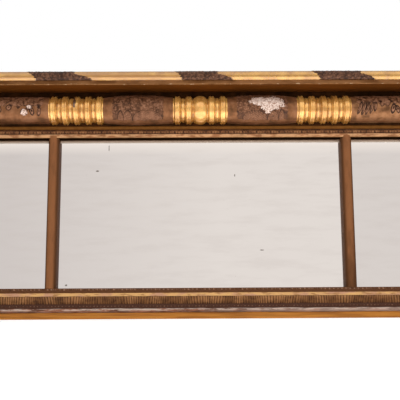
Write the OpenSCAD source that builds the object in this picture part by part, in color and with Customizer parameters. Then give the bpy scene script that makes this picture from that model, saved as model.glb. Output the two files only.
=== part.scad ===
// Three-plate giltwood overmantel mirror: a pine carcass that holds three silvered plates,
// split turned columns in gilt and dark sections, corner blocks, a torus cornice and a moulded
// bottom rail. Front faces -Y, the wall is at +Y, and it stands on a shelf at z = 0.

/* [Plates] */
// Visible width of the centre plate, between the divider rods
centre_sight_w = 818; // [700:2:900]
// Visible width of each side plate
side_sight_w = 196; // [150:0.5:300]
// Visible height of the plates
sight_h = 430.5; // [380:0.5:520]
// Thickness of the silvered glass
glass_t = 3; // [2:0.5:4]
// How far the mouldings and rods lap over the carcass openings
rebate = 10; // [8:0.5:12]
// Clearance round each plate in its rebate
plate_clear = 2; // [1:0.5:3]

/* [Divider rods] */
// Width of a divider rod
rod_w = 30; // [28:1:36]
// Depth of a divider rod, from the glass to its front
rod_d = 31; // [31:1:38]
// Radius of the rod's rounded front
rod_r = 15.5; // [15.1:0.1:20]
// Rise of the rod's arched top
rod_arch = 8; // [5:1:12]
// How far the rod's top laps over the sight fillet
rod_lap = 7.5; // [3:0.5:9]

/* [Carcass] */
// Thickness of the pine carcass
carcass_t = 21; // [19:0.5:26]
// Length of the tenons on the muntins
tenon_l = 15; // [10:1:25]
// Thickness of the tenons
tenon_t = 7; // [5:0.5:8]

/* [Back] */
// Thickness of the backboards
backboard_t = 8; // [6:0.5:9]
// How far the backboards lie below the back of the carcass
backboard_sunk = 3; // [2.5:0.5:4]
// Clearance round each backboard
backboard_clear = 0.8; // [0.3:0.1:0.9]
// Diameter of the brads that hold the backboards
brad_d = 1.8; // [1.4:0.1:2.2]
// Length of the brads
brad_l = 26; // [20:1:32]
// Length of a glazing block
glazing_block_l = 40; // [25:1:60]
// Width of a glazing block
glazing_block_w = 12; // [10:1:16]

/* [Sight moulding] */
// Width of the gilt sight fillet
fillet_w = 11.5; // [9:0.5:15]
// Width of the band that carries the ornament strip
band_w = 14; // [12:0.5:18]
// Width of the hollow next to the column
hollow_w = 9.5; // [9.5:0.5:14]
// Depth of the sight fillet, from the carcass to its front
lip_d = 28; // [26:0.5:31]
// How far the ornament band is set back behind the fillet
band_set = 4; // [3:0.5:6]
// Radius of the hollow
hollow_r = 4.4; // [3.5:0.1:4.6]
// Thickness of the pressed ornament strips
strip_t = 2.5; // [1.5:0.5:3]

/* [Bottom rail] */
// Height of the flat base strip
base_h = 18; // [14:0.5:24]
// Depth of the base strip
base_d = 24; // [20:0.5:27]
// Height of the rounded lower edge
nose_h = 11.5; // [9:0.5:14]
// Depth of the rounded lower edge
nose_d = 31; // [29:0.5:34]
// Height of the hollow with the small beads
dot_h = 12; // [8:0.5:14]
// Depth of the hollow with the small beads
dot_d = 26; // [24:0.5:28]
// Height of the leaf band
leaf_h = 21.5; // [18:0.5:28]
// Depth at the upper edge of the leaf band
leaf_d = 33; // [31:0.5:34]
// Height of the gilt rail fillet
rail_fillet_h = 9; // [7:0.5:14]
// Depth of the gilt rail fillet
rail_fillet_d = 36; // [35:0.5:38]
// Height of the beaded band at the sight edge
bead_h = 13.5; // [10:0.5:17]

/* [Columns] */
// Side of the square corner blocks
block_s = 102; // [98:1:110]
// Depth of the corner blocks, from the carcass to their front
block_d = 79; // [78:1:84]
// How far the top column's axis lies below the middle of the corner blocks
column_drop = 5; // [0:0.5:6]
// Thickness of the boards that the split columns are glued to
seat_t = 27; // [26:0.5:28]
// Radius of a split column over its gilt reeds
crest_r = 42.5; // [41:0.5:44]
// Radius of a split column in its grooves
groove_r = 35; // [33:0.5:36.5]
// Length of a gilt ringed section
gilt_len = 156; // [146:1:166]
// Length of an inner dark section
dark_len = 200; // [180:1:220]
// Radius of a dark section at its neck
neck_r = 38; // [37:0.5:40]
// Radius of an inner dark section at its middle
swell_r = 43.5; // [42:0.5:45.5]
// Radius of a side column's dark section at its middle
side_swell_r = 42.5; // [41:0.5:45]
// Radius of the outer dark sections of the top column
outer_r = 39; // [38:0.5:41]
// Length of the collar at a corner block
collar_len = 12; // [8:1:16]
// Radius of the collar at a corner block
collar_r = 43; // [42:0.5:45]
// Length of the ornament sleeve on an inner dark section
sleeve_len = 148; // [120:1:160]
// Bare length at each end of the other ornament sleeves
sleeve_gap = 12; // [7:1:24]
// Thickness of the ornament sleeves
sleeve_t = 2; // [1.5:0.5:2.5]
// Radius of the rosettes on the corner blocks
rosette_r = 38; // [34:1:40]
// Depth of the sunk panel on the front of a corner block
panel_sunk = 4; // [2:1:6]
// Width of the border round the sunk panel
panel_edge = 8; // [6:1:10]

/* [Cornice] */
// Thickness of the cornice board
board_t = 12; // [10:0.5:18]
// Overhang of the cornice board past the corner blocks
overhang = 19; // [16:1:30]
// Height of the torus moulding
torus_h = 26; // [24:0.5:29]
// Radius of the torus
torus_r = 15; // [14.8:0.1:18]
// How far the torus stands in front of the cornice board
torus_proj = 9; // [7:0.5:11]
// Depth of the torus moulding behind the front of the cornice board
torus_core = 24; // [18:1:32]
// Length of a dark leaf wrap on the torus
wrap_len = 140; // [100:1:180]
// Slant of the ends of a leaf wrap over the height of the torus
wrap_slant = 34; // [0:1:50]
// Thickness of the leaf wraps
wrap_t = 1.5; // [1:0.5:2.5]
// Length of a glue block behind the torus moulding
glue_block_l = 60; // [40:5:80]
// Width and height of a glue block
glue_block_w = 18; // [14:1:22]

/* [Hangers] */
// Height of the hanger hinge above the middle of the plates
hanger_z = 160; // [100:5:160]
// Width of the pocket for a hanger
pocket_w = 52; // [48:1:60]
// Height of the pocket for a hanger
pocket_h = 100; // [100:1:120]
// Depth of the pocket for a hanger
pocket_d = 10; // [9.8:0.1:11]
// Thickness of the hanger plate
strap_t = 1.5; // [1.2:0.1:1.6]
// Width of the hanger plate
strap_w = 24; // [20:1:26]
// Length of the hanger plate below its hinge
strap_l = 42; // [36:1:44]
// Radius of the ring's wire where it turns in the knuckle
wire_r = 2; // [1.8:0.1:2]
// Radius of the D of the ring, to the middle of its wire
ring_r = 16; // [15:0.5:18]
// Radial clearance of the ring in its knuckle
pin_clear = 0.06; // [0.04:0.01:0.1]
// Clearance between the hanging ring and the hanger plate
ring_clear = 0.4; // [0.3:0.1:0.5]

/* [Screws] */
// Radius of the screws' shanks
screw_r = 2; // [1.6:0.1:2.4]
// Length of the screws that hold blocks and cornice
screw_l = 42; // [34:1:50]
// Length of the hanger screws
hanger_screw_l = 10; // [8:0.5:11]
// Radial clearance of the screws in their holes
screw_clear = 0.1; // [0.05:0.05:0.2]

/* [Hidden] */
$fn = 64;

// Heights
sight_z = base_h + nose_h + dot_h + leaf_h + rail_fillet_h + bead_h;
sight_top = sight_z + sight_h;
mould_w = fillet_w + band_w + hollow_w;
block_z = sight_top + mould_w;
soffit_z = block_z + block_s;
board_top = soffit_z + board_t;
top_block_mid = block_z + block_s / 2;
column_z = top_block_mid - column_drop;

// Distances from the centre line
rod_x = (centre_sight_w + rod_w) / 2;
sight_x = centre_sight_w / 2 + rod_w + side_sight_w;
block_x = sight_x + mould_w;
side_x = block_x + block_s;
column_x = block_x + block_s / 2;
lip_x = side_x + overhang;
end_x = lip_x + torus_proj;

// Depths: front_y is the front of the carcass and of the glass
lip_front = block_d + overhang;
end_front = lip_front + torus_proj;
depth = carcass_t + end_front + wrap_t;
back_y = depth / 2;
front_y = back_y - carcass_t;

// Carcass openings
open_x = sight_x + rebate;
open_z0 = sight_z - rebate;
open_z1 = sight_top + rebate;
muntin_w = rod_w - 2 * rebate;
lap_t = carcass_t / 2;
eps = 1;

// Edges of the mouldings
sight_bevel = 2;
arris = 1;
strip_margin = 0.5;
bead_margin = 1;

// Backs
backboard_y = back_y - backboard_sunk - backboard_t;
glazing_block_t = carcass_t - glass_t - backboard_t - backboard_sunk;
glazing_block_pitch = 140;
brad_hole_clear = 0.05;
brad_grip = 0.45;
brad_buried = brad_l * brad_grip;
brad_pitch = 170;

// Column sections
gilt_x = gilt_len / 2 + dark_len;
outer_x = gilt_x + gilt_len;
outer_len = block_x - outer_x;
side_dark_len = (block_z - block_s - 2 * collar_len - gilt_len) / 2;
humps = 5;
hump_r = 13;
hump_end = 12.3;
hump_pitch = (gilt_len - 2 * hump_end) / (humps - 1);
reed_r = 3.4;
reed_rise = 1.3;
reed_pitch = 8.2;
low_reed_r = 6;
low_reed_rise = 1.6;
end_fillet = 3;
end_fillet_drop = 5.5;
torus_rise = 0.5;
torus_arc_r = 27.5;
collar_bead_r = 3.5;
collar_step = 2;

// Hangers
hanger_x = (open_x + side_x) / 2;
hinge_z = sight_z + sight_h / 2 + hanger_z;
pocket_floor = back_y - pocket_d;
hinge_y = pocket_floor + strap_t + ring_clear + wire_r;
knuckle_r = wire_r + pin_clear + strap_t;
knuckle_gap = 1;
knuckle_l = 2 * (ring_r - wire_r - knuckle_gap);
arm_slimmer = 0.1;
arm_r = wire_r - arm_slimmer;
bar_end = 0.5;
strap_screws = [0.5, 0.85];

// Screws
head_r = 2 * screw_r;
head_h = 0.9 * screw_r;
cornice_screw_x = [for (i = [-2:2]) i * (open_x - block_s / 2) / 2];
block_screw_gap = block_s / 4;

// y of a point that lies d in front of the carcass
function fy(d) = front_y - d;

// Extrudes an outline drawn in (y, z) from x0 to x1
module along_x(x0, x1) {
    translate([x0, 0, 0]) rotate([90, 0, 90]) linear_extrude(x1 - x0) children();
}

// Extrudes an outline drawn in (x, z) through the depths y0 to y1
module along_y(y0, y1) {
    translate([0, y1, 0]) rotate([90, 0, 0]) linear_extrude(y1 - y0) children();
}

// A box by its two corners
module span(a, b) {
    translate(a) cube(b - a);
}

module left() {
    mirror([1, 0, 0]) children();
}

module both_sides() {
    children();
    left() children();
}

// A half turning along X, flat side on the column board, from x0 on
module half_turned_x(x0) {
    translate([x0, fy(seat_t), column_z]) rotate([180, 0, 0]) rotate([0, 90, 0])
        rotate_extrude(angle = 180) children();
}

// A half turning along Z on the right column board, from z0 on
module half_turned_z(z0) {
    translate([column_x, fy(seat_t), z0]) rotate([0, 0, 180])
        rotate_extrude(angle = 180) children();
}

// ---- Screws ----

module screw(length, grow) {
    translate([0, 0, -length]) cylinder(h = length, r = screw_r + grow);
    translate([0, 0, -head_h]) cylinder(h = head_h, r1 = screw_r + grow, r2 = head_r + grow);
}

module slotted_screw(length) {
    difference() {
        screw(length, 0);
        translate([-head_r, -screw_r / 5, -head_h / 2]) cube([2 * head_r, screw_r / 2.5, head_h]);
    }
}

// Cornice board to top rail, from above
module at_cornice_screws() {
    for (x = cornice_screw_x) translate([x, (front_y + back_y) / 2, board_top]) children();
}

// Corner blocks to carcass, from behind
module at_block_screws() {
    for (side = [-1, 1], z = [top_block_mid, block_s / 2], end = [-1, 1])
        translate([side * (column_x + end * block_screw_gap), back_y, z - end * block_screw_gap])
            rotate([-90, 0, 0]) children();
}

// Hanger plate to stile, on the right
module at_hanger_screws() {
    for (s = strap_screws)
        translate([hanger_x, pocket_floor + strap_t, hinge_z - s * strap_l])
            rotate([-90, 0, 0]) children();
}

module screw_holes() {
    at_cornice_screws() screw(screw_l, screw_clear);
    at_block_screws() screw(screw_l, screw_clear);
    both_sides() at_hanger_screws() screw(hanger_screw_l, screw_clear);
}

module screws() {
    color("#6b6660") {
        at_cornice_screws() slotted_screw(screw_l);
        at_block_screws() slotted_screw(screw_l);
        both_sides() at_hanger_screws() slotted_screw(hanger_screw_l);
    }
}

// ---- Brads and glazing blocks ----

// Places along an edge of the given length, about one pitch apart
function spaced(length, pitch) =
    let (n = max(1, floor(length / pitch)))
    [for (i = [0:n - 1]) length * ((i + 0.5) / n - 0.5)];

open_spans = [
    [-(open_x + rod_x + muntin_w / 2) / 2, open_x - rod_x - muntin_w / 2],
    [0, 2 * rod_x - muntin_w],
    [(open_x + rod_x + muntin_w / 2) / 2, open_x - rod_x - muntin_w / 2]
];
brad_y = back_y - backboard_sunk + brad_d / 2;

module brads(grow) {
    r = brad_d / 2 + grow;
    for (o = open_spans, x = spaced(o[1], brad_pitch)) {
        translate([o[0] + x, brad_y, open_z1 + brad_buried - brad_l]) cylinder(h = brad_l, r = r);
        translate([o[0] + x, brad_y, open_z0 - brad_buried]) cylinder(h = brad_l, r = r);
    }
    both_sides() for (z = spaced(open_z1 - open_z0, brad_pitch))
        translate([open_x + brad_buried - brad_l, brad_y, (open_z0 + open_z1) / 2 + z])
            rotate([0, 90, 0]) cylinder(h = brad_l, r = r);
}

module backboard_brads() {
    color("#4a4440") brads(0);
}

module glazing_blocks() {
    y0 = backboard_y - glazing_block_t;
    color("#a98a62") for (o = open_spans) {
        for (x = spaced(o[1], glazing_block_pitch), z = [open_z0, open_z1 - glazing_block_w])
            translate([o[0] + x - glazing_block_l / 2, y0, z])
                cube([glazing_block_l, glazing_block_t, glazing_block_w]);
        for (side = [-1, 1], z = spaced(open_z1 - open_z0 - glazing_block_l, brad_pitch))
            translate([o[0] + side * (o[1] - glazing_block_w) / 2 - glazing_block_w / 2, y0,
                       (open_z0 + open_z1) / 2 + z - glazing_block_l / 2])
                cube([glazing_block_w, glazing_block_t, glazing_block_l]);
    }
}

// ---- Carcass ----

// A rail from stile to stile, its lapped ends in the front half of the carcass
module rail(z0, z1) {
    difference() {
        span([-side_x, front_y, z0], [side_x, back_y, z1]);
        both_sides() span([open_x, front_y + lap_t, z0 - eps], [side_x + eps, back_y + eps, z1 + eps]);
        both_sides() muntin_mortises();
        screw_holes();
        brads(brad_hole_clear);
    }
}

module tenon(z0, z1) {
    span([rod_x - muntin_w / 2, (front_y + back_y - tenon_t) / 2, z0],
         [rod_x + muntin_w / 2, (front_y + back_y + tenon_t) / 2, z1]);
}

module muntin_mortises() {
    tenon(open_z0 - tenon_l, open_z0 + eps);
    tenon(open_z1 - eps, open_z1 + tenon_l);
}

module carcass_top_rail() {
    color("#b08d5f") rail(open_z1, soffit_z);
}

module carcass_bottom_rail() {
    color("#b08d5f") rail(0, open_z0);
}

module stile_solid() {
    difference() {
        span([open_x, front_y, 0], [side_x, back_y, soffit_z]);
        for (z = [[-eps, open_z0], [open_z1, soffit_z + eps]])
            span([open_x - eps, front_y - eps, z[0]], [side_x + eps, front_y + lap_t, z[1]]);
        translate([hanger_x - pocket_w / 2, pocket_floor, hinge_z - pocket_h / 2])
            cube([pocket_w, pocket_d + eps, pocket_h]);
        screw_holes();
        brads(brad_hole_clear);
    }
}

module carcass_stile_right() {
    color("#a98759") stile_solid();
}

module carcass_stile_left() {
    color("#a98759") left() stile_solid();
}

module muntin_solid() {
    span([rod_x - muntin_w / 2, front_y, open_z0], [rod_x + muntin_w / 2, back_y, open_z1]);
    tenon(open_z0 - tenon_l, open_z0 + eps);
    tenon(open_z1 - eps, open_z1 + tenon_l);
}

module carcass_muntin_right() {
    color("#a98759") muntin_solid();
}

module carcass_muntin_left() {
    color("#a98759") left() muntin_solid();
}

// ---- Plates and backboards ----

// A flat piece that fills one opening, less a clearance, between two depths
module filling(opening, clear, y0, thickness) {
    translate([opening[0] - opening[1] / 2 + clear, y0, open_z0 + clear])
        cube([opening[1] - 2 * clear, thickness, open_z1 - open_z0 - 2 * clear]);
}

module mirror_plate(i) {
    color("#d9d3cd") filling(open_spans[i], plate_clear, front_y, glass_t);
}

module backboard(i) {
    color("#9c7c52") filling(open_spans[i], backboard_clear, backboard_y, backboard_t);
}

module mirror_plate_left() { mirror_plate(0); }
module mirror_plate_centre() { mirror_plate(1); }
module mirror_plate_right() { mirror_plate(2); }
module backboard_left() { backboard(0); }
module backboard_centre() { backboard(1); }
module backboard_right() { backboard(2); }

// ---- Sight mouldings ----

// Section of the sight moulding: x runs outwards from the sight edge, y forwards from the carcass
module sight_section() {
    band_d = lip_d - band_set;
    hollow_edge = lip_d - arris;
    difference() {
        polygon([
            [0, 0], [0, lip_d - sight_bevel], [sight_bevel, lip_d], [fillet_w - arris, lip_d],
            [fillet_w, lip_d - arris],
            [fillet_w, band_d], [fillet_w + band_w, band_d], [fillet_w + band_w, hollow_edge],
            [mould_w, hollow_edge], [mould_w, 0]
        ]);
        translate([mould_w - hollow_w / 2, hollow_edge]) circle(r = hollow_r);
    }
}

module strip_section() {
    translate([fillet_w + strip_margin, lip_d - band_set])
        square([band_w - 2 * strip_margin, strip_t]);
}

// Lays a sight section along the top, cut to the mitre at each end
module top_run() {
    intersection() {
        along_x(-block_x, block_x) translate([front_y, sight_top]) rotate(90) children();
        along_y(fy(block_d), front_y)
            polygon([[-sight_x, sight_top], [sight_x, sight_top], [block_x, block_z],
                     [-block_x, block_z]]);
    }
}

// Lays a sight section up the right side, from the bottom rail to the mitre
module side_run() {
    intersection() {
        translate([sight_x, front_y, sight_z]) linear_extrude(block_z - sight_z)
            mirror([0, 1]) children();
        along_y(fy(block_d), front_y)
            polygon([[sight_x, sight_z], [sight_x, sight_top], [block_x, block_z],
                     [block_x, sight_z]]);
    }
}

module sight_moulding_top() {
    color("#a07a50") top_run() sight_section();
}

module sight_moulding_right() {
    color("#a07a50") side_run() sight_section();
}

module sight_moulding_left() {
    color("#a07a50") left() side_run() sight_section();
}

module ornament_strip_top() {
    color("#704129") top_run() strip_section();
}

module ornament_strip_right() {
    color("#704129") side_run() strip_section();
}

module ornament_strip_left() {
    color("#704129") left() side_run() strip_section();
}

// ---- Column boards and turnings ----

module column_board_top() {
    color("#4a2f1c") span([-block_x, fy(seat_t), block_z], [block_x, front_y, soffit_z]);
}

module column_board_side() {
    color("#4a2f1c") span([block_x, fy(seat_t), block_s], [side_x, front_y, block_z]);
}

module column_board_right() { column_board_side(); }
module column_board_left() { left() column_board_side(); }

// Outline of one hump of a gilt section: a round swelling with twin reeds on its crest
module hump_outline() {
    intersection() {
        translate([crest_r - reed_rise - hump_r, 0]) circle(r = hump_r, $fn = 96);
        translate([groove_r - eps, -hump_r]) square([2 * hump_r, 2 * hump_r]);
    }
    for (s = [-0.5, 0.5]) translate([crest_r - reed_r, s * reed_pitch]) circle(r = reed_r);
}

// Outline of a gilt section, radius in x and length in y: humps with a low reed between each
// two, and a plain torus in place of the middle hump where wanted
module gilt_outline(plain_middle) {
    mid = (humps - 1) / 2;
    square([groove_r, gilt_len]);
    for (y = [0, gilt_len - end_fillet])
        translate([0, y]) square([crest_r - end_fillet_drop, end_fillet]);
    for (i = [0:humps - 1]) if (!(plain_middle && i == mid))
        translate([0, gilt_len / 2 + (i - mid) * hump_pitch]) hump_outline();
    for (i = [0:humps - 2]) if (!(plain_middle && abs(i + 0.5 - mid) < 1))
        translate([groove_r + low_reed_rise - low_reed_r,
                   gilt_len / 2 + (i + 0.5 - mid) * hump_pitch]) circle(r = low_reed_r);
    if (plain_middle) intersection() {
        translate([crest_r + torus_rise - torus_arc_r, gilt_len / 2]) circle(r = torus_arc_r, $fn = 180);
        translate([groove_r / 2, 0]) square([crest_r, gilt_len]);
    }
}

// Radius of the long arc that swells a dark section of the given length
function swell_arc(length, r) = ((length / 2) ^ 2 + (r - neck_r) ^ 2) / (2 * (r - neck_r));

// Outline of a swelled dark section
module dark_outline(length, r) {
    arc = swell_arc(length, r);
    intersection() {
        translate([r - arc, length / 2]) circle(r = arc, $fn = 720);
        square([r + eps, length]);
    }
}

// Outline of the sleeve over a swelled section, bare for a gap at each end
module swelled_sleeve_outline(length, r, gap) {
    arc = swell_arc(length, r);
    intersection() {
        difference() {
            translate([r - arc, length / 2]) circle(r = arc + sleeve_t, $fn = 720);
            translate([r - arc, length / 2]) circle(r = arc, $fn = 720);
        }
        translate([neck_r / 2, gap]) square([r + sleeve_t, length - 2 * gap]);
    }
}

// Outline of a collar: a square ring with a bead at its middle
module collar_outline() {
    square([collar_r - collar_step, collar_len]);
    translate([collar_r - collar_bead_r, collar_len / 2]) circle(r = collar_bead_r);
}

module column_gilt_centre() {
    color("#dda054") half_turned_x(-gilt_len / 2) gilt_outline(true);
}

module column_gilt_right() {
    color("#dda054") half_turned_x(gilt_x) gilt_outline(false);
}

module column_gilt_left() {
    color("#dda054") half_turned_x(-gilt_x - gilt_len) gilt_outline(false);
}

module column_dark_right() {
    color("#8a5f49") half_turned_x(gilt_len / 2) dark_outline(dark_len, swell_r);
}

module column_dark_left() {
    color("#8a5f49") half_turned_x(-gilt_x) dark_outline(dark_len, swell_r);
}

module outer_section() {
    half_turned_x(outer_x) {
        square([outer_r, outer_len - collar_len]);
        translate([0, outer_len - collar_len]) collar_outline();
    }
}

module column_outer_right() {
    color("#8a5f49") outer_section();
}

module column_outer_left() {
    color("#8a5f49") left() outer_section();
}

module leaf_sleeve_right() {
    color("#5e4033") half_turned_x(gilt_len / 2)
        swelled_sleeve_outline(dark_len, swell_r, (dark_len - sleeve_len) / 2);
}

module leaf_sleeve_left() {
    color("#5e4033") half_turned_x(-gilt_x)
        swelled_sleeve_outline(dark_len, swell_r, (dark_len - sleeve_len) / 2);
}

module outer_sleeve() {
    half_turned_x(outer_x) translate([outer_r, sleeve_gap])
        square([sleeve_t, outer_len - collar_len - 2 * sleeve_gap]);
}

module leaf_sleeve_outer_right() {
    color("#5e4033") outer_sleeve();
}

module leaf_sleeve_outer_left() {
    color("#5e4033") left() outer_sleeve();
}

// A side column is one turning: collar, dark, gilt rings, dark, collar
module side_column() {
    half_turned_z(block_s) {
        collar_outline();
        translate([0, collar_len]) dark_outline(side_dark_len, side_swell_r);
        translate([0, collar_len + side_dark_len]) gilt_outline(false);
        translate([0, collar_len + side_dark_len + gilt_len])
            dark_outline(side_dark_len, side_swell_r);
        translate([0, collar_len + 2 * side_dark_len + gilt_len]) collar_outline();
    }
}

module side_column_right() {
    color("#8a5f49") side_column();
}

module side_column_left() {
    color("#8a5f49") left() side_column();
}

module side_leaf_sleeves() {
    color("#5e4033") both_sides() for (z = [0, side_dark_len + gilt_len])
        half_turned_z(block_s + collar_len + z)
            swelled_sleeve_outline(side_dark_len, side_swell_r, sleeve_gap);
}

// ---- Corner blocks ----

module corner_block(z0) {
    difference() {
        span([block_x, fy(block_d), z0], [side_x, front_y, z0 + block_s]);
        span([block_x + panel_edge, fy(block_d) - eps, z0 + panel_edge],
             [side_x - panel_edge, fy(block_d - panel_sunk), z0 + block_s - panel_edge]);
        screw_holes();
    }
}

module corner_block_top_right() {
    color("#8a5a36") corner_block(block_z);
}

module corner_block_top_left() {
    color("#8a5a36") left() corner_block(block_z);
}

module corner_block_bottom_right() {
    color("#8a5a36") corner_block(0);
}

module corner_block_bottom_left() {
    color("#8a5a36") left() corner_block(0);
}

// A turned disc with a rim, a ring of petals and a button, facing -Y
module rosette() {
    disc_t = 4;
    rim = 2.6;
    petals = 10;
    petal_r = rosette_r * 0.2;
    petal_ring = rosette_r * 0.58;
    button_r = rosette_r * 0.28;
    rotate([90, 0, 0]) difference() {
        union() {
            cylinder(h = disc_t, r = rosette_r);
            rotate_extrude() translate([rosette_r - rim - 0.5, disc_t]) circle(r = rim);
            for (i = [0:petals - 1]) rotate(i * 360 / petals)
                translate([petal_ring, 0, disc_t - 1]) sphere(r = petal_r);
            translate([0, 0, disc_t - 2]) sphere(r = button_r);
        }
        translate([0, 0, -rosette_r]) cylinder(h = rosette_r, r = rosette_r);
    }
}

module rosettes() {
    color("#dda054") both_sides() for (z = [top_block_mid, block_s / 2])
        translate([column_x, fy(block_d - panel_sunk), z]) rosette();
}

// ---- Cornice ----

module cornice_board() {
    color("#6a4426") difference() {
        span([-lip_x, fy(lip_front), soffit_z], [lip_x, back_y, board_top]);
        screw_holes();
    }
}

// Section of the torus moulding: x runs outwards from the lip of the board, y up from its top
module torus_section() {
    translate([-torus_core, 0]) square([torus_core, torus_h]);
    intersection() {
        translate([torus_proj - torus_r, torus_h / 2]) circle(r = torus_r, $fn = 96);
        translate([-torus_core / 2, 0]) square([torus_core, torus_h]);
    }
}

// Section of a leaf wrap over the torus
module wrap_section() {
    intersection() {
        difference() {
            translate([torus_proj - torus_r, torus_h / 2]) circle(r = torus_r + wrap_t, $fn = 96);
            translate([torus_proj - torus_r, torus_h / 2]) circle(r = torus_r, $fn = 96);
        }
        square([torus_proj + 2 * wrap_t, torus_h]);
    }
}

// Corner of the cornice in plan, past the front and the end
mitre_out = [end_x + 2 * wrap_t, fy(end_front + 2 * wrap_t)];
mitre_in = [lip_x - torus_core, fy(lip_front - torus_core)];

// Lays a cornice section along the front between the mitres
module front_run(x0, x1) {
    intersection() {
        along_x(x0, x1) translate([fy(lip_front), board_top]) mirror([1, 0]) children();
        translate([0, 0, board_top]) linear_extrude(torus_h)
            polygon([[-mitre_in[0], mitre_in[1]], [mitre_in[0], mitre_in[1]], mitre_out,
                     [-mitre_out[0], mitre_out[1]]]);
    }
}

// Lays a cornice section along the right end from y0 to y1
module end_run(y0, y1) {
    intersection() {
        translate([lip_x, y1, board_top]) rotate([90, 0, 0]) linear_extrude(y1 - y0) children();
        translate([0, 0, board_top]) linear_extrude(torus_h)
            polygon([mitre_in, mitre_out, [mitre_out[0], back_y], [mitre_in[0], back_y]]);
    }
}

module cornice_torus_front() {
    color("#d9a257") front_run(-mitre_out[0], mitre_out[0]) torus_section();
}

module cornice_torus_right() {
    color("#d9a257") end_run(mitre_out[1], back_y) torus_section();
}

module cornice_torus_left() {
    color("#d9a257") left() end_run(mitre_out[1], back_y) torus_section();
}

// Slanted cut of a wrap about x0, as wide as the wrap is long
module wrap_outline(x0) {
    w = wrap_len / 2;
    s = wrap_slant / 2;
    polygon([[x0 - w + s, board_top], [x0 + w + s, board_top],
             [x0 + w - s, board_top + torus_h], [x0 - w - s, board_top + torus_h]]);
}

module cornice_leaf_wraps() {
    wrap_pitch = end_x / 2;
    corner_len = wrap_len / 2;
    color("#563b30") {
        for (x = [-wrap_pitch, 0, wrap_pitch]) intersection() {
            front_run(x - wrap_len, x + wrap_len) wrap_section();
            along_y(mitre_out[1], front_y) wrap_outline(x);
        }
        both_sides() {
            front_run(end_x - corner_len, mitre_out[0]) wrap_section();
            end_run(mitre_out[1], mitre_out[1] + corner_len) wrap_section();
        }
    }
}

module cornice_glue_blocks() {
    back = fy(lip_front - torus_core);
    pitch = (lip_x - torus_core) / 2 - glue_block_l;
    color("#a98a62") {
        for (i = [-2:2]) translate([i * pitch - glue_block_l / 2, back, board_top])
            cube([glue_block_l, glue_block_w, glue_block_w]);
        both_sides()
            translate([lip_x - torus_core - glue_block_w, front_y - glue_block_l, board_top])
                cube([glue_block_w, glue_block_l, glue_block_w]);
    }
}

// ---- Bottom rail ----

// Heights of the bottom moulding's members
nose_z = base_h;
dot_z = nose_z + nose_h;
leaf_z = dot_z + dot_h;
rail_fillet_z = leaf_z + leaf_h;
bead_z = rail_fillet_z + rail_fillet_h;
leaf_low_d = dot_d + 1;
bead_slope = 0.1;
bead_d = lip_d + bead_slope * bead_h;

module base_strip() {
    color("#b47933") span([-block_x, fy(base_d), 0], [block_x, front_y, base_h]);
}

// Mirrors an outline of depths, so that they run forwards from the carcass
module rail_outline() {
    translate([front_y, 0]) mirror([1, 0]) children();
}

module bottom_moulding() {
    nose_r = nose_h * 0.55;
    color("#6b4b35") along_x(-block_x, block_x) rail_outline() {
        polygon([
            [0, nose_z], [nose_d - nose_r, nose_z], [nose_d - nose_r, dot_z], [dot_d, dot_z],
            [dot_d, leaf_z], [leaf_low_d, leaf_z], [leaf_d, rail_fillet_z],
            [rail_fillet_d, rail_fillet_z], [rail_fillet_d, bead_z], [bead_d, bead_z],
            [lip_d, sight_z], [0, sight_z]
        ]);
        intersection() {
            translate([nose_d - nose_r, nose_z + nose_h / 2]) circle(r = nose_r);
            translate([nose_d - nose_r - eps, nose_z]) square([nose_d, nose_h]);
        }
    }
}

// The leaf strip lies on the sloping face between the hollow and the fillet
module bottom_leaf_strip() {
    color("#5d4231") along_x(-block_x, block_x) rail_outline()
        polygon([[leaf_low_d, leaf_z], [leaf_d, rail_fillet_z],
                 [leaf_d + strip_t, rail_fillet_z], [leaf_low_d + strip_t, leaf_z]]);
}

// A strip of small beads in the hollow and one at the sight edge
module bottom_bead_strips() {
    color("#4e302a") along_x(-block_x, block_x) rail_outline() {
        translate([dot_d, dot_z + bead_margin]) square([strip_t, dot_h - 2 * bead_margin]);
        low = [bead_d - bead_slope * bead_margin, bead_z + bead_margin];
        high = [lip_d + bead_slope * bead_margin, sight_z - bead_margin];
        polygon([low, high, high + [strip_t, 0], low + [strip_t, 0]]);
    }
}

// ---- Divider rods ----

// A rod with straight sides and a rounded front, arched at the top and notched over the fillet
module divider_rod() {
    top = sight_top + rod_lap;
    half_w = rod_w / 2;
    arch_r = (half_w ^ 2 + rod_arch ^ 2) / (2 * rod_arch);
    difference() {
        intersection() {
            translate([rod_x, 0, sight_z]) linear_extrude(top - sight_z) intersection() {
                union() {
                    translate([-half_w, fy(rod_d - rod_r)]) square([rod_w, rod_d - rod_r]);
                    translate([0, fy(rod_d - rod_r)]) circle(r = rod_r);
                }
                translate([-half_w, fy(rod_d)]) square([rod_w, rod_d]);
            }
            along_y(fy(rod_d + eps), front_y + eps) {
                translate([rod_x, top - arch_r]) circle(r = arch_r);
                translate([rod_x - rod_w, sight_z - eps]) square([2 * rod_w, top - rod_arch - sight_z]);
            }
        }
        span([rod_x - rod_w, fy(lip_d), sight_top], [rod_x + rod_w, front_y + eps, top + eps]);
    }
}

module divider_rod_right() {
    color("#7d5235") divider_rod();
}

module divider_rod_left() {
    color("#7d5235") left() divider_rod();
}

// ---- Hangers ----

module hanger_plate() {
    difference() {
        union() {
            translate([hanger_x - strap_w / 2, pocket_floor, hinge_z - strap_l])
                cube([strap_w, strap_t, strap_l]);
            translate([hanger_x - knuckle_l / 2, hinge_y, hinge_z]) rotate([0, 90, 0])
                cylinder(h = knuckle_l, r = knuckle_r);
        }
        translate([hanger_x - ring_r, hinge_y, hinge_z]) rotate([0, 90, 0])
            cylinder(h = 2 * ring_r, r = wire_r + pin_clear);
        at_hanger_screws() screw(hanger_screw_l, screw_clear);
    }
}

module hanger_plate_right() {
    color("#8c8378") hanger_plate();
}

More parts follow.
